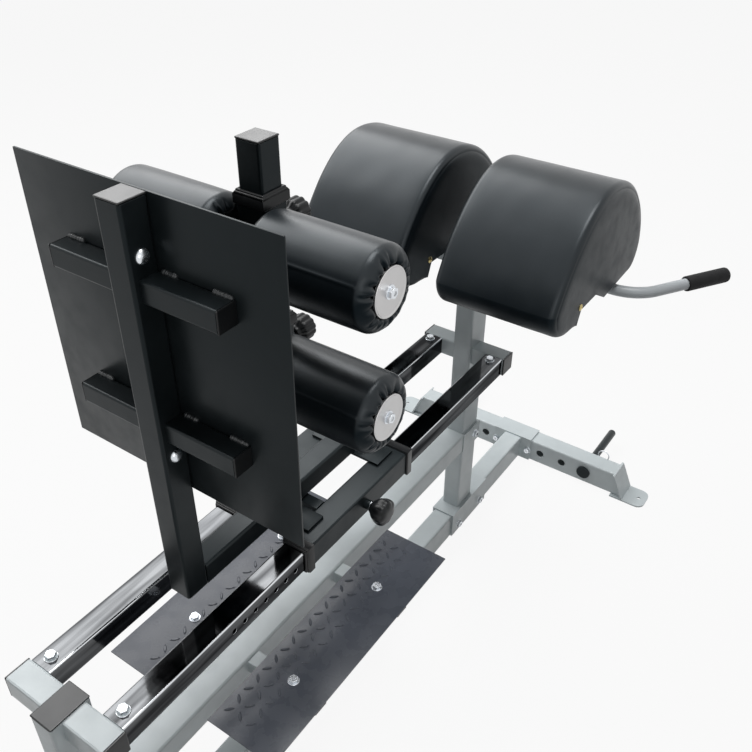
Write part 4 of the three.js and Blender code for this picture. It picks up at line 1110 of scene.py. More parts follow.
@dataclass
class Treads:
    """The two step plates with raised diamond lugs."""

    length: float = 635.0
    station: float = 554.0
    inner: float = 56.0
    outer: float = 224.6
    lug_outer: float = 166.0
    top: float = 372.0
    thickness: float = 3.0
    pitch: float = 29.0
    lug_length: float = 12.0
    lug_width: float = 3.6
    lug_height: float = 2.4
    bolt_stations: tuple[float, ...] = (403.0, 705.0)
    bolt_offset: float = 140.3

    def build(self, fitter: Fitter) -> None:
        """Builds both treads.

        Args:
            fitter: Makes the finished objects.
        """
        for side in SIDES:
            inner, outer = sorted((side.value * self.inner, side.value * self.outer))
            plate = Workpiece().block(
                (self.station - self.length / 2, inner, self.top - self.thickness),
                (self.station + self.length / 2, outer, self.top), 0.9)
            self.lugs(plate, side)
            fitter.fit(plate, f"step_plate_{side.word}", TREAD, "frame", f"tread_{side.word}",
                       edge=0.0)

    def lugs(self, plate: Workpiece, side: Side) -> None:
        """Adds the lugs, turned one way and the other in turn.

        Args:
            plate: The plate.
            side: The side of the machine.
        """
        columns = int(self.length / self.pitch) - 1
        rows = int((self.lug_outer - self.inner) / self.pitch)
        start = self.station - (columns - 1) * self.pitch / 2
        for i in range(columns):
            for j in range(rows):
                station = start + i * self.pitch
                offset = self.inner + self.pitch * (j + 0.7)
                near = any(math.hypot(station - b, offset - self.bolt_offset) < 21.0
                           for b in self.bolt_stations)
                if near:
                    continue
                turn = math.radians(45 if (i + j) % 2 else -45)
                place = Matrix.Translation((station, side.value * offset, self.top + self.lug_height / 2
                                            - 0.2))
                shape = Matrix.Rotation(turn, 4, "Z") @ Matrix.Diagonal(
                    (self.lug_length, self.lug_width, self.lug_height, 1.0))
                bmesh.ops.create_cone(plate.mesh, cap_ends=True, cap_tris=False, segments=8,
                                      radius1=1.0, radius2=0.62, depth=1.0, matrix=place @ shape)


@dataclass(frozen=True)
class KnobShape:
    """The outline of a pull knob, as shares of its radius at heights over its foot."""

    radius: float
    lobes: int
    depth: float
    outline: tuple[tuple[float, float], ...]


STAR_KNOB = KnobShape(26.0, 12, 0.085, (
    (0.515, 0.0), (0.57, 1.0), (0.585, 5.0), (0.69, 9.0), (0.91, 13.0), (0.985, 16.0), (1.0, 20.0),
    (1.0, 36.5), (0.97, 40.0), (0.885, 42.6), (0.77, 43.6), (0.615, 44.0), (0.35, 44.0)))
CONE_KNOB = KnobShape(30.0, 7, 0.09, (
    (0.42, 0.0), (0.47, 1.0), (0.50, 2.5), (0.62, 6.0), (0.79, 11.0), (0.91, 16.0), (0.98, 22.0),
    (1.0, 28.0), (0.985, 33.0), (0.94, 37.0), (0.85, 40.0), (0.70, 42.2), (0.5, 43.5), (0.3, 44.0)))


def pull_knob(axis: Axis, face: float, direction: int, a: float, b: float, housing: float,
              shape: KnobShape) -> Workpiece:
    """Builds a lobed pull knob with its pin.

    Args:
        axis: The pin's direction.
        face: The face that the pin passes through.
        direction: 1 or -1, the way that the knob points.
        a: The pin's place on the first of the two other axes.
        b: The pin's place on the second of the two other axes.
        housing: The length of the fixed housing.
        shape: The knob's outline.

    Returns:
        The workpiece.
    """
    start = housing + 2.0
    profile = [(0.0, -10.0), (3.8, -10.0), (5.0, -8.8), (5.0, start)]
    profile += [(shape.radius * share, start + height) for share, height in shape.outline]
    profile.append((0.0, profile[-1][1]))
    knob = Workpiece().turned(profile, Axis.Z, (0.0, 0.0, 0.0), 112)
    for vert in knob.mesh.verts:
        reach = math.hypot(vert.co.x, vert.co.y)
        if vert.co.z > start + 4.0 and reach > 10.0:
            angle = math.atan2(vert.co.y, vert.co.x)
            grip = min(1.0, (reach - 10.0) / 12.0)
            scale = 1.0 - shape.depth * grip * abs(math.cos(angle * shape.lobes / 2)) ** 3
            vert.co.x *= scale
            vert.co.y *= scale
    place = Workpiece.spot(axis, face, a, b)
    flip = Matrix.Rotation(math.pi, 4, "X") if direction < 0 else Matrix.Identity(4)
    bmesh.ops.transform(knob.mesh, matrix=Matrix.Translation(place) @ Workpiece.turn(axis) @ flip,
                        verts=knob.mesh.verts[:])
    return knob


def guide_collar(fitter: Fitter, name: str, body: str, node: str, axis: Axis, end: float,
                 direction: int, a: float, b: float) -> None:
    """Builds a sleeve's end collar: a moulded body with a narrower lip and a square bore.

    Args:
        fitter: Makes the finished object.
        name: The piece's name.
        body: The body that it rides on.
        node: The CAD node that it stands for.
        axis: The sleeve's direction.
        end: The sleeve's end.
        direction: 1 or -1, the way out of the sleeve.
        a: The sleeve's centre on the first of the two other axes.
        b: The sleeve's centre on the second of the two other axes.
    """
    section = ((30.8, 0.0), (33.0, 2.2), (33.0, 17.8), (31.4, 20.0), (30.75, 20.3), (30.75, 21.4),
               (30.0, 22.2), (29.0, 22.4), (29.0, 24.6), (27.6, 26.0), (25.3, 26.0), (25.3, 16.0),
               (29.3, 16.0), (29.3, 0.0), (30.8, 0.0))
    place = Workpiece.spot(axis, end - direction * 15.7, a, b)
    moulded = Workpiece().turned([(half * math.sqrt(2), direction * along) for half, along in section],
                                 axis, place, 4)
    moulded.turn_all(math.pi / 4, axis, place)
    fitter.fit(moulded, name, PLASTIC, body, node, edge=0.8)


def weld_bead(work: Workpiece, start: Sequence[float], end: Sequence[float], radius: float = 4.8,
              pitch: float = 2.4) -> Workpiece:
    """Adds a weld bead as a row of overlapping ripples.

    Args:
        work: The workpiece that gets it.
        start: Where the bead starts.
        end: Where it ends.
        radius: Its half width.
        pitch: The distance between ripples.

    Returns:
        The workpiece.
    """
    a, b = Vector(start), Vector(end)
    count = max(2, round((b - a).length / pitch))
    way = (b - a).normalized()
    turn = way.to_track_quat("Z", "Y").to_matrix().to_4x4()
    for i in range(count + 1):
        swell = 1.0 + 0.12 * math.sin(i * 0.9) + 0.08 * math.sin(i * 2.3)
        place = Matrix.Translation(a.lerp(b, i / count)) @ turn
        bmesh.ops.create_uvsphere(work.mesh, u_segments=14, v_segments=10, radius=1.0,
                                  matrix=place @ Matrix.Diagonal((radius * swell, radius * swell,
                                                                  pitch * 1.5, 1.0)))
    return work


@dataclass
class Carriage:
    """The sliding carriage: its sleeves, collars, cross plates, spine and pull pin."""

    rear: float = 497.8
    front: float = 862.2
    offset: float = 90.5
    middle: float = 634.5
    sleeve: float = 58.0
    pin_station: float = 692.5
    housing: float = 14.0
    spine_rear: float = 320.5
    spine_front: float = 834.5
    spine_middle: float = 694.5
    spine_size: float = 50.0
    plates: tuple[tuple[str, float, float], ...] = (("rear", 558.5, 50.0), ("front", 805.5, 58.0))
    plate_low: float = 663.5
    plate_high: float = 669.5

    def build(self, fitter: Fitter) -> None:
        """Builds the carriage.

        Args:
            fitter: Makes the finished objects.
        """
        for side in SIDES:
            self.sleeve_tube(fitter, side)
            for word, end, direction in (("rear", self.rear, -1), ("front", self.front, 1)):
                guide_collar(fitter, f"{word}_guide_collar_{side.word}", "carriage",
                             f"{word}_rail_collar_{side.word}", Axis.X, end, direction,
                             side.value * self.offset, self.middle)
        face = -self.offset - self.sleeve / 2
        knob = pull_knob(Axis.Y, face, -1, self.pin_station, self.middle, self.housing, CONE_KNOB)
        fitter.fit(knob, "carriage_pull_knob", PLASTIC, "carriage_pin", "carriage_pin", edge=0.0,
                   smooth=55.0)
        washer = Workpiece().turned([(5.5, 0.2), (12.2, 0.2), (12.8, 0.6), (12.8, 1.3), (12.2, 1.7),
                                     (5.5, 1.7), (5.5, 0.2)], Axis.Y,
                                    (self.pin_station, face - self.housing, self.middle), 40, True)
        fitter.fit(washer, "carriage_pin_washer", ZINC, "carriage", edge=0.0)
        for word, station, width in self.plates:
            plate = Workpiece().block((station - width / 2, -self.offset, self.plate_low),
                                      (station + width / 2, self.offset, self.plate_high), 0.8)
            fitter.fit(plate, f"cross_plate_{word}", BLACK, "carriage", f"carriage_{word}_plate",
                       edge=0.0)
        fitter.paint(BLACK, "carriage_tie_bar")
        spine = Workpiece().tube(Axis.X, self.spine_rear, self.spine_front, 0.0, self.spine_middle,
                                 self.spine_size, self.spine_size, 3.0, 5.0)
        fitter.fit(spine, "spine_tube", BLACK, "carriage", "carriage_spine")
        cap = end_cap(Workpiece(), Axis.X, self.spine_front, 1, 0.0, self.spine_middle,
                      self.spine_size, self.spine_size)
        fitter.fit(cap, "spine_end_cap", CAP, "carriage")

    def sleeve_tube(self, fitter: Fitter, side: Side) -> None:
        """Builds one rail sleeve, with the pin's housing on the right one.

        Args:
            fitter: Makes the finished objects.
            side: The side of the machine.
        """
        tube = Workpiece().tube(Axis.X, self.rear, self.front, side.value * self.offset, self.middle,
                                self.sleeve, self.sleeve, 2.5, 4.0)
        if side is Side.RIGHT:
            face = -self.offset - self.sleeve / 2
            tube.turned([(5.3, -0.3), (11.0, -0.3), (11.0, self.housing - 1.0),
                         (10.0, self.housing), (5.3, self.housing), (5.3, -0.3)],
                        Axis.Y, (self.pin_station, face, self.middle), 40, True)
        fitter.fit(tube, f"sleeve_tube_{side.word}", BLACK, "carriage", f"rail_sleeve_{side.word}")


@dataclass
class FootStand:
    """The foot plate, its column and the crossbars behind it."""

    station: float = 295.5
    bottom: float = 673.8
    top: float = 1441.0
    size: float = 50.0
    face: float = 320.5
    bar_size: float = 38.0
    bar_reach: float = 168.0
    bar_tops: tuple[float, ...] = (1326.0, 1072.0)
    bolt_heights: tuple[float, ...] = (1358.0, 1000.0)
    plate_half: float = 262.0
    plate_low: float = 909.0
    plate_high: float = 1445.0
    plate_thickness: float = 4.0

    def build(self, fitter: Fitter) -> None:
        """Builds the stand.

        Args:
            fitter: Makes the finished objects.
        """
        column = Workpiece().tube(Axis.Z, self.bottom, self.top, self.station, 0.0, self.size,
                                  self.size, 3.0, 5.0)
        for top in self.bar_tops:
            for side in SIDES:
                start, end = sorted((side.value * (self.size / 2 - 0.5), side.value * self.bar_reach))
                column.tube(Axis.Y, start, end, self.face - self.bar_size / 2, top - self.bar_size / 2,
                            self.bar_size, self.bar_size, 2.5, 4.0)
        fitter.fit(column, "foot_stand_tubes", BLACK, "carriage", "foot_plate_column")
        caps = Workpiece()
        for top in self.bar_tops:
            for side in SIDES:
                end_cap(caps, Axis.Y, side.value * self.bar_reach, side.value,
                        self.face - self.bar_size / 2, top - self.bar_size / 2, self.bar_size,
                        self.bar_size, 3.0)
        fitter.fit(caps, "crossbar_end_caps", CAP, "carriage")
        cap = end_cap(Workpiece(), Axis.Z, self.top, 1, self.station, 0.0, self.size, self.size)
        fitter.fit(cap, "column_top_cap", CAP, "carriage", "foot_plate_column_cap")
        bolts = Workpiece()
        for height in self.bolt_heights:
            bolts.turned([(0.0, -0.6), (12.4, -0.6), (12.3, 1.0), (11.0, 3.6), (8.4, 5.7), (4.6, 7.1),
                          (0.0, 7.5)], Axis.Y, (self.station, -self.size / 2, height), 40, True)
        fitter.fit(bolts, "column_dome_bolts", ZINC, "carriage", edge=0.0)
        plate = Workpiece().block(
            (self.face, -self.plate_half, self.plate_low),
            (self.face + self.plate_thickness, self.plate_half, self.plate_high), 0.9)
        fitter.fit(plate, "foot_plate_sheet", BLACK, "carriage", "foot_plate", edge=0.0)
        self.welds(fitter)

    def welds(self, fitter: Fitter) -> None:
        """Builds the weld beads that hold the plate to the crossbars.

        Args:
            fitter: Makes the finished objects.
        """
        beads = Workpiece()
        for top in self.bar_tops:
            for side in SIDES:
                for near, far in ((self.bar_reach - 34.0, self.bar_reach - 4.0), (36.0, 60.0)):
                    for level in (top + 1.0, top - self.bar_size - 1.0):
                        weld_bead(beads, (self.face - 1.0, side.value * near, level),
                                  (self.face - 1.0, side.value * far, level))
        fitter.fit(beads, "foot_plate_welds", WELD, "carriage", edge=0.0, smooth=60.0)


@dataclass
class RollerPost:
    """The post with its two rows of pin holes."""

    station: float = 570.5
    bottom: float = 719.5
    top: float = 1441.0
    size: float = 50.0
    pitch: float = 19.5
    upper_pin: float = 1286.0
    lower_pin: float = 1052.0
    upper_range: tuple[int, int] = (-2, 4)
    lower_range: tuple[int, int] = (-5, 1)
    hole_radius: float = 5.5

    def build(self, fitter: Fitter) -> None:
        """Builds the post and its cap.

        Args:
            fitter: Makes the finished objects.
        """
        post = Workpiece().tube(Axis.Z, self.bottom, self.top, self.station, 0.0, self.size, self.size,
                                3.0, 5.0)
        drill = Workpiece()
        heights = {self.upper_pin + self.pitch * i for i in range(self.upper_range[0],
                                                                  self.upper_range[1] + 1)}
        heights |= {self.lower_pin + self.pitch * i for i in range(self.lower_range[0],
                                                                   self.lower_range[1] + 1)}
        face = self.station + self.size / 2
        for height in sorted(heights):
            drill.bar(Axis.X, face - 6.0, face + 6.0, 0.0, height, self.hole_radius, 24)
        fitter.fit(post, "roller_post_tube", BLACK, "carriage", "roller_post", drilled=drill)
        cap = end_cap(Workpiece(), Axis.Z, self.top, 1, self.station, 0.0, self.size, self.size)
        fitter.fit(cap, "post_top_cap", CAP, "carriage", "roller_post_cap")


@dataclass
class AnkleRollers:
    """One pair of ankle rollers on its sleeve, with the discs and the pull pin."""

    level: str
    height: float
    post_station: float = 570.5
    station: float = 529.5
    above: float = 73.0
    below: float = 81.0
    sleeve: float = 58.0
    pin_above: float = 9.0
    housing: float = 24.0
    radius: float = 71.0
    inner: float = 40.0
    outer: float = 279.0
    disc_radius: float = 41.5
    pleats: int = 17
    pleat_depth: float = 7.5
    seam_angle: float = 205.0

    def build(self, fitter: Fitter) -> None:
        """Builds the level.

        Args:
            fitter: Makes the finished objects.
        """
        mount = f"{self.level}_roller_mount"
        low, high = self.height - self.below, self.height + self.above
        pin = self.height + self.pin_above
        tube = Workpiece().tube(Axis.Z, low, high, self.post_station, 0.0, self.sleeve, self.sleeve,
                                2.5, 4.0)
        face = self.post_station + self.sleeve / 2
        tube.turned([(5.3, -0.3), (11.0, -0.3), (11.0, self.housing - 1.0), (10.0, self.housing),
                     (5.3, self.housing), (5.3, -0.3)], Axis.X, (face, 0.0, pin), 40)
        tube.block((self.station, -25.0, self.height - 14.0),
                   (self.post_station - self.sleeve / 2 + 0.5, 25.0, self.height + 14.0), 1.5)
        for side in SIDES:
            tube.turned([(0.0, -0.5), (12.5, -0.5), (12.5, 33.4), (18.8, 33.4), (20.0, 34.6),
                         (20.0, 45.4), (12.5, 45.4), (12.5, 275.8), (0.0, 275.8)], Axis.Y,
                        (self.station, 0.0, self.height), 40, side is Side.RIGHT)
        fitter.fit(tube, f"{self.level}_mount_sleeve", BLACK, mount, f"{self.level}_roller_sleeve")
        for word, end, direction in (("bottom", low, -1), ("top", high, 1)):
            guide_collar(fitter, f"{self.level}_guide_collar_{word}", mount,
                         f"{self.level}_sleeve_collar_{word}", Axis.Z, end, direction,
                         self.post_station, 0.0)
        knob = pull_knob(Axis.X, face, 1, 0.0, pin, self.housing, STAR_KNOB)
        fitter.fit(knob, f"{self.level}_pull_knob", PLASTIC, f"{self.level}_pin", f"{self.level}_pin",
                   edge=0.0, smooth=55.0)
        for side in SIDES:
            self.roller(fitter, side)
            self.disc(fitter, side, mount)

    def roller(self, fitter: Fitter, side: Side) -> None:
        """Builds one stuffed roller with gathered ends.

        Args:
            fitter: Makes the finished objects.
            side: The side of the machine.
        """
        half = (self.outer - self.inner) / 2
        r = self.radius
        hub = self.disc_radius
        end = [(12.8, half - 7.0), (30.0, half - 7.0), (hub - 4.0, half - 6.2), (hub - 1.2, half - 4.6),
               (hub + 0.5, half - 1.6), (hub + 2.4, half + 1.0), (hub + 4.8, half + 2.2),
               (hub + 8.0, half + 2.2), (hub + 12.0, half + 1.0), (hub + 16.0, half - 1.0),
               (hub + 20.0, half - 3.8), (r - 6.4, half - 6.8), (r - 4.0, half - 9.6),
               (r - 2.2, half - 12.4), (r - 1.0, half - 15.0), (r - 0.3, half - 17.2), (r, half - 20.0)]
        profile = [(radius, -along) for radius, along in end]
        profile += [(r + 0.4, -half * 0.5), (r + 0.5, 0.0), (r + 0.4, half * 0.5)]
        profile += list(reversed(end)) + [(12.8, -half + 7.0)]
        roll = Workpiece().turned(profile, Axis.Z, (0.0, 0.0, 0.0), 216)
        seam = math.radians(self.seam_angle)
        for vert in roll.mesh.verts:
            reach = math.hypot(vert.co.x, vert.co.y)
            edge = abs(vert.co.z)
            angle = math.atan2(vert.co.y, vert.co.x)
            if reach > r - 0.2:
                apart = abs(math.remainder(angle - seam, math.tau)) * r
                welt = 1.2 * math.exp(-(apart / 2.2) ** 2) / r
                vert.co.x *= 1.0 + welt
                vert.co.y *= 1.0 + welt
            if reach > hub - 2.0 and edge > half - 21.0:
                wander = 1.1 * math.sin(angle * 3.0 + 0.4) + 0.7 * math.sin(angle * 5.0 + 2.0)
                fold = (0.5 + 0.5 * math.cos(angle * self.pleats + wander)) ** 2.2
                length = 0.72 + 0.28 * math.sin(angle * 4.0 + 1.3 + wander)
                across = min(1.0, max(0.0, (reach - hub) / ((r - hub) * length)))
                strength = min(1.0, (reach - hub + 2.0) / 2.5) * (1.0 - across ** 1.6)
                swell = 0.9 * math.sin(angle * 9.0 + wander) * min(1.0, (r - reach) / 9.0)
                depth = self.pleat_depth * (0.75 + 0.25 * math.sin(angle * 6.0)) * strength
                vert.co.z -= math.copysign(depth * fold + swell, vert.co.z)
        middle = (self.outer + self.inner) / 2
        place = Matrix.Translation((self.station, side.value * middle, self.height))
        bmesh.ops.transform(roll.mesh, matrix=place @ Workpiece.turn(Axis.Y), verts=roll.mesh.verts[:])
        body = f"{self.level}_roller_{side.word}"
        piece = fitter.fit(roll, f"{self.level}_vinyl_roller_{side.word}", VINYL, body, body, edge=0.0,
                           smooth=180.0)

    def disc(self, fitter: Fitter, side: Side, mount: str) -> None:
        """Builds one end disc with its bolt.

        Args:
            fitter: Makes the finished objects.
            side: The side of the machine.
            mount: The body that it rides on.
        """
        start, rim = self.outer - 2.7, self.disc_radius
        plate = Workpiece().turned(
            [(0.0, 0.0), (rim - 0.6, 0.0), (rim, 0.6), (rim, 4.2), (rim - 0.6, 4.9), (rim - 1.5, 5.0),
             (rim - 2.3, 4.6), (rim - 3.2, 3.6), (rim - 4.4, 3.1), (rim - 6.0, 3.0), (14.0, 3.0),
             (0.0, 3.0)],
            Axis.Y, (self.station, side.value * start, self.height), 96, side is Side.RIGHT)
        fitter.fit(plate, f"{self.level}_end_disc_{side.word}", DISC, mount,
                   f"{self.level}_roller_disc_{side.word}", edge=0.0, smooth=30.0)
        bolt = Workpiece().hex_bolt(Axis.Y, side.value * (start + 3.0), side.value, self.station,
                                    self.height)
        fitter.fit(bolt, f"{self.level}_disc_bolt_{side.word}", ZINC, mount, edge=0.3)


@dataclass
class ThighPad:
    """A half-round thigh pad: foam on a board in a sewn cover."""

    side: Side
    station: float = 1304.5
    length: float = 504.0
    inner: float = 48.0
    outer: float = 338.0
    bottom: float = 907.0
    height: float = 283.0
    rear_belly: float = 78.0
    rear_tuck: float = 90.0
    front_belly: float = 58.0
    front_tuck: float = 39.0
    notch_rear: float = 120.0
    notch_front: float = 25.0
    notch_height: float = 35.0
    notch_lean: float = 60.0
    notch_slant: float = 14.0
    rear_fullness: float = 0.87
    front_fullness: float = 0.62
    arch_steps: int = 96
    corner_steps: int = 14
    edge_radius: float = 15.0
    ripple: float = 0.9

    def outline(self) -> list[tuple[float, float]]:
        """The side outline, as distance from the middle and height above the underside.

        Returns:
            The points in order.
        """
        half = self.length / 2
        rear, front = [], []
        for i in range(1, self.corner_steps + 1):
            angle = math.pi / 2 * i / self.corner_steps
            back, drop = 1.0 - math.cos(angle), 1.0 - math.sin(angle)
            rear.insert(0, (-half + self.rear_tuck * back, self.rear_belly * drop))
            front.append((half - self.front_tuck * back, self.front_belly * drop))
        arch = []
        for i in range(self.arch_steps + 1):
            share = math.cos(math.pi * (1.0 - i / self.arch_steps))
            belly, fullness = ((self.rear_belly, self.rear_fullness) if share < 0
                               else (self.front_belly, self.front_fullness))
            arch.append((half * share, belly + (self.height - belly) * (1.0 - share * share) ** fullness))
        notch = [(self.notch_lean - self.notch_front, 0.0), (-self.notch_front, self.notch_height),
                 (self.notch_slant - self.notch_rear, self.notch_height), (-self.notch_rear, 0.0)]
        return rear + arch + front + notch

    def build(self, fitter: Fitter) -> None:
        """Builds the pad, its seams and its side bolt.

        Args:
            fitter: Makes the finished objects.
        """
        pad = Workpiece()
        outline = self.outline()
        rings = []
        for y, drawn in self.sections():
            verts = [pad.mesh.verts.new(self.drawn_in(x, z, y, drawn)) for x, z in outline]
            rings.append([pad.mesh.edges.new((a, b)) for a, b in zip(verts, verts[1:] + verts[:1])])
        for first, second in zip(rings, rings[1:]):
            bmesh.ops.bridge_loops(pad.mesh, edges=first + second)
        for ring in (rings[0], rings[-1]):
            bmesh.ops.contextual_create(pad.mesh, geom=ring)
        bmesh.ops.recalc_face_normals(pad.mesh, faces=pad.mesh.faces[:])
        pad.shift((self.station, 0.0, self.bottom))
        if self.side is Side.RIGHT:
            pad.mirrored()
        node = f"thigh_pad_{self.side.word}"
        piece = fitter.fit(pad, f"vinyl_pad_{self.side.word}", VINYL, "frame", node, edge=0.0,
                           smooth=50.0)
        self.screws(fitter)

    def sections(self) -> list[tuple[float, float]]:
        """The cross sections from the inner side to the outer one.

        Returns:
            Pairs of the distance from the machine's middle plane and how far the cover is drawn in.
        """
        radius = self.edge_radius
        panel = [(-3.2, 42.0), (-2.9, 32.0), (-2.2, 24.0), (-1.0, 17.5), (0.4, 14.6), (0.9, radius + 0.6)]
        corner = [(radius * (1 - math.cos(a)), radius * (1 - math.sin(a)))
                  for a in (math.pi / 2 * i / 7 for i in range(8))]
        near = [(self.inner + y, drawn) for y, drawn in panel + corner]
        inside = [(self.inner + radius + (self.outer - self.inner - 2 * radius) * i / 16, 0.0)
                  for i in range(1, 16)]
        far = [(self.outer + self.inner - y, drawn) for y, drawn in reversed(near)]
        return near + inside + far

    def drawn_in(self, x: float, z: float, y: float, drawn: float) -> Point:
        """A point of the outline, drawn in near the pad's sides.

        Args:
            x: The distance from the middle.
            z: The height above the underside.
            y: The distance from the machine's middle plane.
            drawn: How far the cover is drawn in.

        Returns:
            The point.
        """
        half = self.length / 2
        if z <= self.notch_height and -half + self.rear_tuck + 1.0 < x < half - self.front_tuck - 1.0:
            return (x, y, z)
        wave = 0.0
        if drawn < self.edge_radius:
            wave = self.ripple * noise.noise(Vector((x / 70.0, y / 55.0, z / 70.0)))
        above = z - self.front_belly
        scale = 1.0 + (wave - drawn) / max(math.hypot(x, above), drawn)
        return (x * scale, y, self.front_belly + above * scale)

    def screws(self, fitter: Fitter) -> None:
        """Builds the brass screw on each side face.

        Args:
            fitter: Makes the finished objects.
        """
        screws = Workpiece()
        profile = [(0.0, -2.0), (8.0, -2.0), (8.0, 1.0), (6.0, 2.6), (3.0, 3.4), (2.6, 2.0), (0.0, 1.8)]
        for face, flip in ((self.outer + 3.4, False), (self.inner - 3.4, True)):
            screws.turned(profile, Axis.Y, (1190.0, face, 952.0), 32, flip)
        if self.side is Side.RIGHT:
            screws.mirrored()
        fitter.fit(screws, f"pad_side_screws_{self.side.word}", BRASS, "frame", edge=0.0)


@dataclass
class Handle:
    """A bent handle tube with a foam grip."""

    side: Side
    station: float = 1437.0
    height: float = 880.0
    start: float = 70.0
    corner: float = 386.0
    bend: float = 110.0
    radius: float = 14.0
    splay: float = 32.0
    reach: float = 278.0
    grip_radius: float = 19.0
    grip_length: float = 128.0
    steps: int = 20

    def path(self) -> list[Point]:
        """The centre line of the left tube.

        Returns:
            Its points.
        """
        turn = math.radians(90.0 - self.splay)
        tangent = self.bend * math.tan(turn / 2)
        bend_start = self.corner - tangent
        points = [(self.station, self.start, self.height)]
        for i in range(self.steps + 1):
            angle = turn * i / self.steps
            points.append((self.station + self.bend * (1 - math.cos(angle)),
                           bend_start + self.bend * math.sin(angle), self.height))
        along = (math.cos(math.radians(self.splay)), math.sin(math.radians(self.splay)))
        end = self.reach - 5.3
        points.append((self.station + along[0] * end, self.corner + along[1] * end, self.height))
        return points

    def build(self, fitter: Fitter) -> None:
        """Builds the tube and the grip.

        Args:
            fitter: Makes the finished objects.
        """
        tube = Workpiece().swept(self.path(), self.radius, 40)
        if self.side is Side.RIGHT:
            tube.mirrored()
        word = self.side.word
        fitter.fit(tube, f"bent_handle_{word}", HANDLE, "frame", f"handle_tube_{word}", edge=0.0)
        along = math.radians(self.splay)
        long, r = self.grip_length, self.grip_radius
        start = self.reach - long
        grip = Workpiece().turned(
            [(self.radius + 0.1, 0.6), (r - 2.2, 0.0), (r - 0.6, 0.9), (r, 3.0), (r, long - 7.0),
             (r - 0.9, long - 3.4), (r - 3.2, long - 0.9), (r - 6.5, long), (0.0, long)],
            Axis.X, (0.0, 0.0, 0.0), 56)
        grip.turn_all(along, Axis.Z, (0.0, 0.0, 0.0))
        grip.shift((self.station + math.cos(along) * start, self.corner + math.sin(along) * start,
                    self.height))
        if self.side is Side.RIGHT:
            grip.mirrored()
        fitter.fit(grip, f"foam_grip_{word}", FOAM, "frame", f"handle_grip_{word}", edge=0.0)


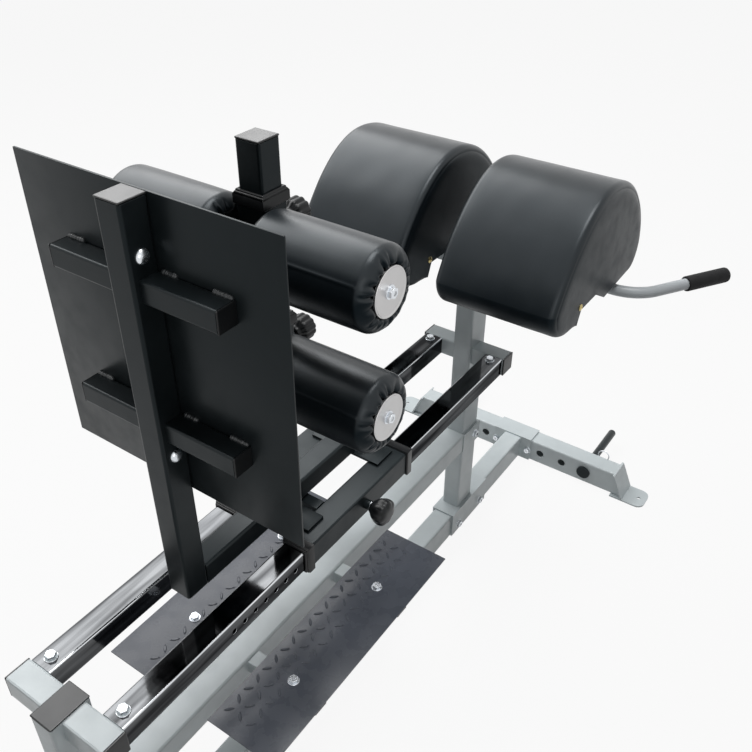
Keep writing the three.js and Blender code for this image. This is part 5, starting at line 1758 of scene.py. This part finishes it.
@dataclass
class Studio:
    """The pale floor, the soft lights and the camera."""

    floor_half: float = 14.0
    floor_colour: Point = (0.50, 0.50, 0.50)
    camera_place: Point = (-1.2706, -0.8846, 1.9012)
    camera_turn: Point = (54.754, -0.303, -55.294)
    lens: float = 40.812
    shadow_share: float = 0.08
    fill_light: float = 0.10

    def build(self) -> None:
        """Builds the studio."""
        self.floor()
        self.world()
        self.lamp("far side softbox", (0.8, 2.8, 4.1), (-0.1, 0.0, 1.1), (4.6, 2.8), 180.0)
        self.lamp("overhead softbox", (0.4, -0.7, 5.2), (0.2, 0.0, 0.8), (2.0, 2.0), 115.0)
        self.lamp("rear side softbox", (-2.6, -2.6, 2.2), (0.0, 0.0, 0.8), (1.6, 1.6), 11.0)
        self.camera()

    def floor(self) -> None:
        """Builds the floor, which shows white with the machine's soft shadow."""
        mesh = bmesh.new()
        bmesh.ops.create_grid(mesh, x_segments=1, y_segments=1, size=self.floor_half)
        data = bpy.data.meshes.new("studio_floor")
        mesh.to_mesh(data)
        mesh.free()
        ground = bpy.data.objects.new("studio_floor", data)
        bpy.context.scene.collection.objects.link(ground)
        graph = Graph("pale floor")
        graph.plug(graph.shader.inputs["Base Color"], self.floor_colour)
        graph.plug(graph.shader.inputs["Roughness"], 0.9)
        graph.plug(graph.shader.inputs["Specular IOR Level"], 0.1)
        white = graph.node("ShaderNodeEmission", {}, {"Color": (1.0, 1.0, 1.0), "Strength": 1.0})
        rays = graph.node("ShaderNodeLightPath", {}, {})
        seen = (Wire(graph, rays.outputs["Is Camera Ray"]) + Wire(graph, rays.outputs["Is Glossy Ray"])
                + Wire(graph, rays.outputs["Is Transmission Ray"])) * (1.0 - self.shadow_share)
        mixed = graph.node("ShaderNodeMixShader", {}, {0: seen, 1: graph.shader.outputs[0],
                                                       2: white.outputs[0]})
        graph.plug(graph.output.inputs["Surface"], mixed.outputs[0])
        data.materials.append(graph.material)

    def world(self) -> None:
        """Builds the white surroundings and the even light that they give."""
        world = bpy.data.worlds.new("studio")
        bpy.context.scene.world = world
        world.use_nodes = True
        tree = world.node_tree
        tree.nodes.clear()
        light = tree.nodes.new("ShaderNodeBackground")
        light.inputs["Color"].default_value = (1.0, 1.0, 1.0, 1.0)
        light.inputs["Strength"].default_value = self.fill_light
        seen = tree.nodes.new("ShaderNodeBackground")
        seen.inputs["Color"].default_value = (1.0, 1.0, 1.0, 1.0)
        seen.inputs["Strength"].default_value = 1.0
        rays = tree.nodes.new("ShaderNodeLightPath")
        either = tree.nodes.new("ShaderNodeMath")
        either.operation = "ADD"
        tree.links.new(rays.outputs["Is Camera Ray"], either.inputs[0])
        tree.links.new(rays.outputs["Is Glossy Ray"], either.inputs[1])
        every = tree.nodes.new("ShaderNodeMath")
        every.operation = "ADD"
        tree.links.new(either.outputs[0], every.inputs[0])
        tree.links.new(rays.outputs["Is Transmission Ray"], every.inputs[1])
        mixed = tree.nodes.new("ShaderNodeMixShader")
        tree.links.new(every.outputs[0], mixed.inputs[0])
        tree.links.new(light.outputs[0], mixed.inputs[1])
        tree.links.new(seen.outputs[0], mixed.inputs[2])
        output = tree.nodes.new("ShaderNodeOutputWorld")
        tree.links.new(mixed.outputs[0], output.inputs["Surface"])

    @staticmethod
    def lamp(name: str, place: Point, target: Point, size: tuple[float, float], power: float) -> None:
        """Adds a soft lamp.

        Args:
            name: Its name.
            place: Where it hangs, in metres.
            target: What it points at.
            size: Its width and height.
            power: Its power in watts.
        """
        light = bpy.data.lights.new(name, "AREA")
        light.shape = "RECTANGLE"
        light.size, light.size_y = size
        light.energy = power
        lamp = bpy.data.objects.new(name, light)
        bpy.context.scene.collection.objects.link(lamp)
        lamp.location = place
        way = Vector(target) - Vector(place)
        lamp.rotation_euler = way.to_track_quat("-Z", "Y").to_euler()

    def camera(self) -> None:
        """Adds the camera at the photograph's viewpoint."""
        data = bpy.data.cameras.new("viewpoint")
        data.lens = self.lens
        data.sensor_width = 36.0
        camera = bpy.data.objects.new("viewpoint", data)
        bpy.context.scene.collection.objects.link(camera)
        camera.location = self.camera_place
        camera.rotation_euler = tuple(math.radians(a) for a in self.camera_turn)
        bpy.context.scene.camera = camera


def main() -> None:
    """Builds the machine's looks and the studio, in order."""
    logging.basicConfig(level=logging.INFO, format="%(name)s: %(message)s")
    bpy.context.scene.view_settings.view_transform = "Standard"
    fitter = Fitter()
    assemblies = [FloorFrame(), Fasteners(), Rails(), Treads(), Carriage(), FootStand(), RollerPost(),
                  AnkleRollers("upper", 1277.0), AnkleRollers("lower", 1043.0),
                  ThighPad(Side.LEFT), ThighPad(Side.RIGHT), Handle(Side.LEFT), Handle(Side.RIGHT)]
    for assembly in assemblies:
        assembly.build(fitter)
        LOG.info("built %s", type(assembly).__name__)
    Studio().build()
    LOG.info("%d pieces", fitter.count)


if __name__ == "__main__":
    main()
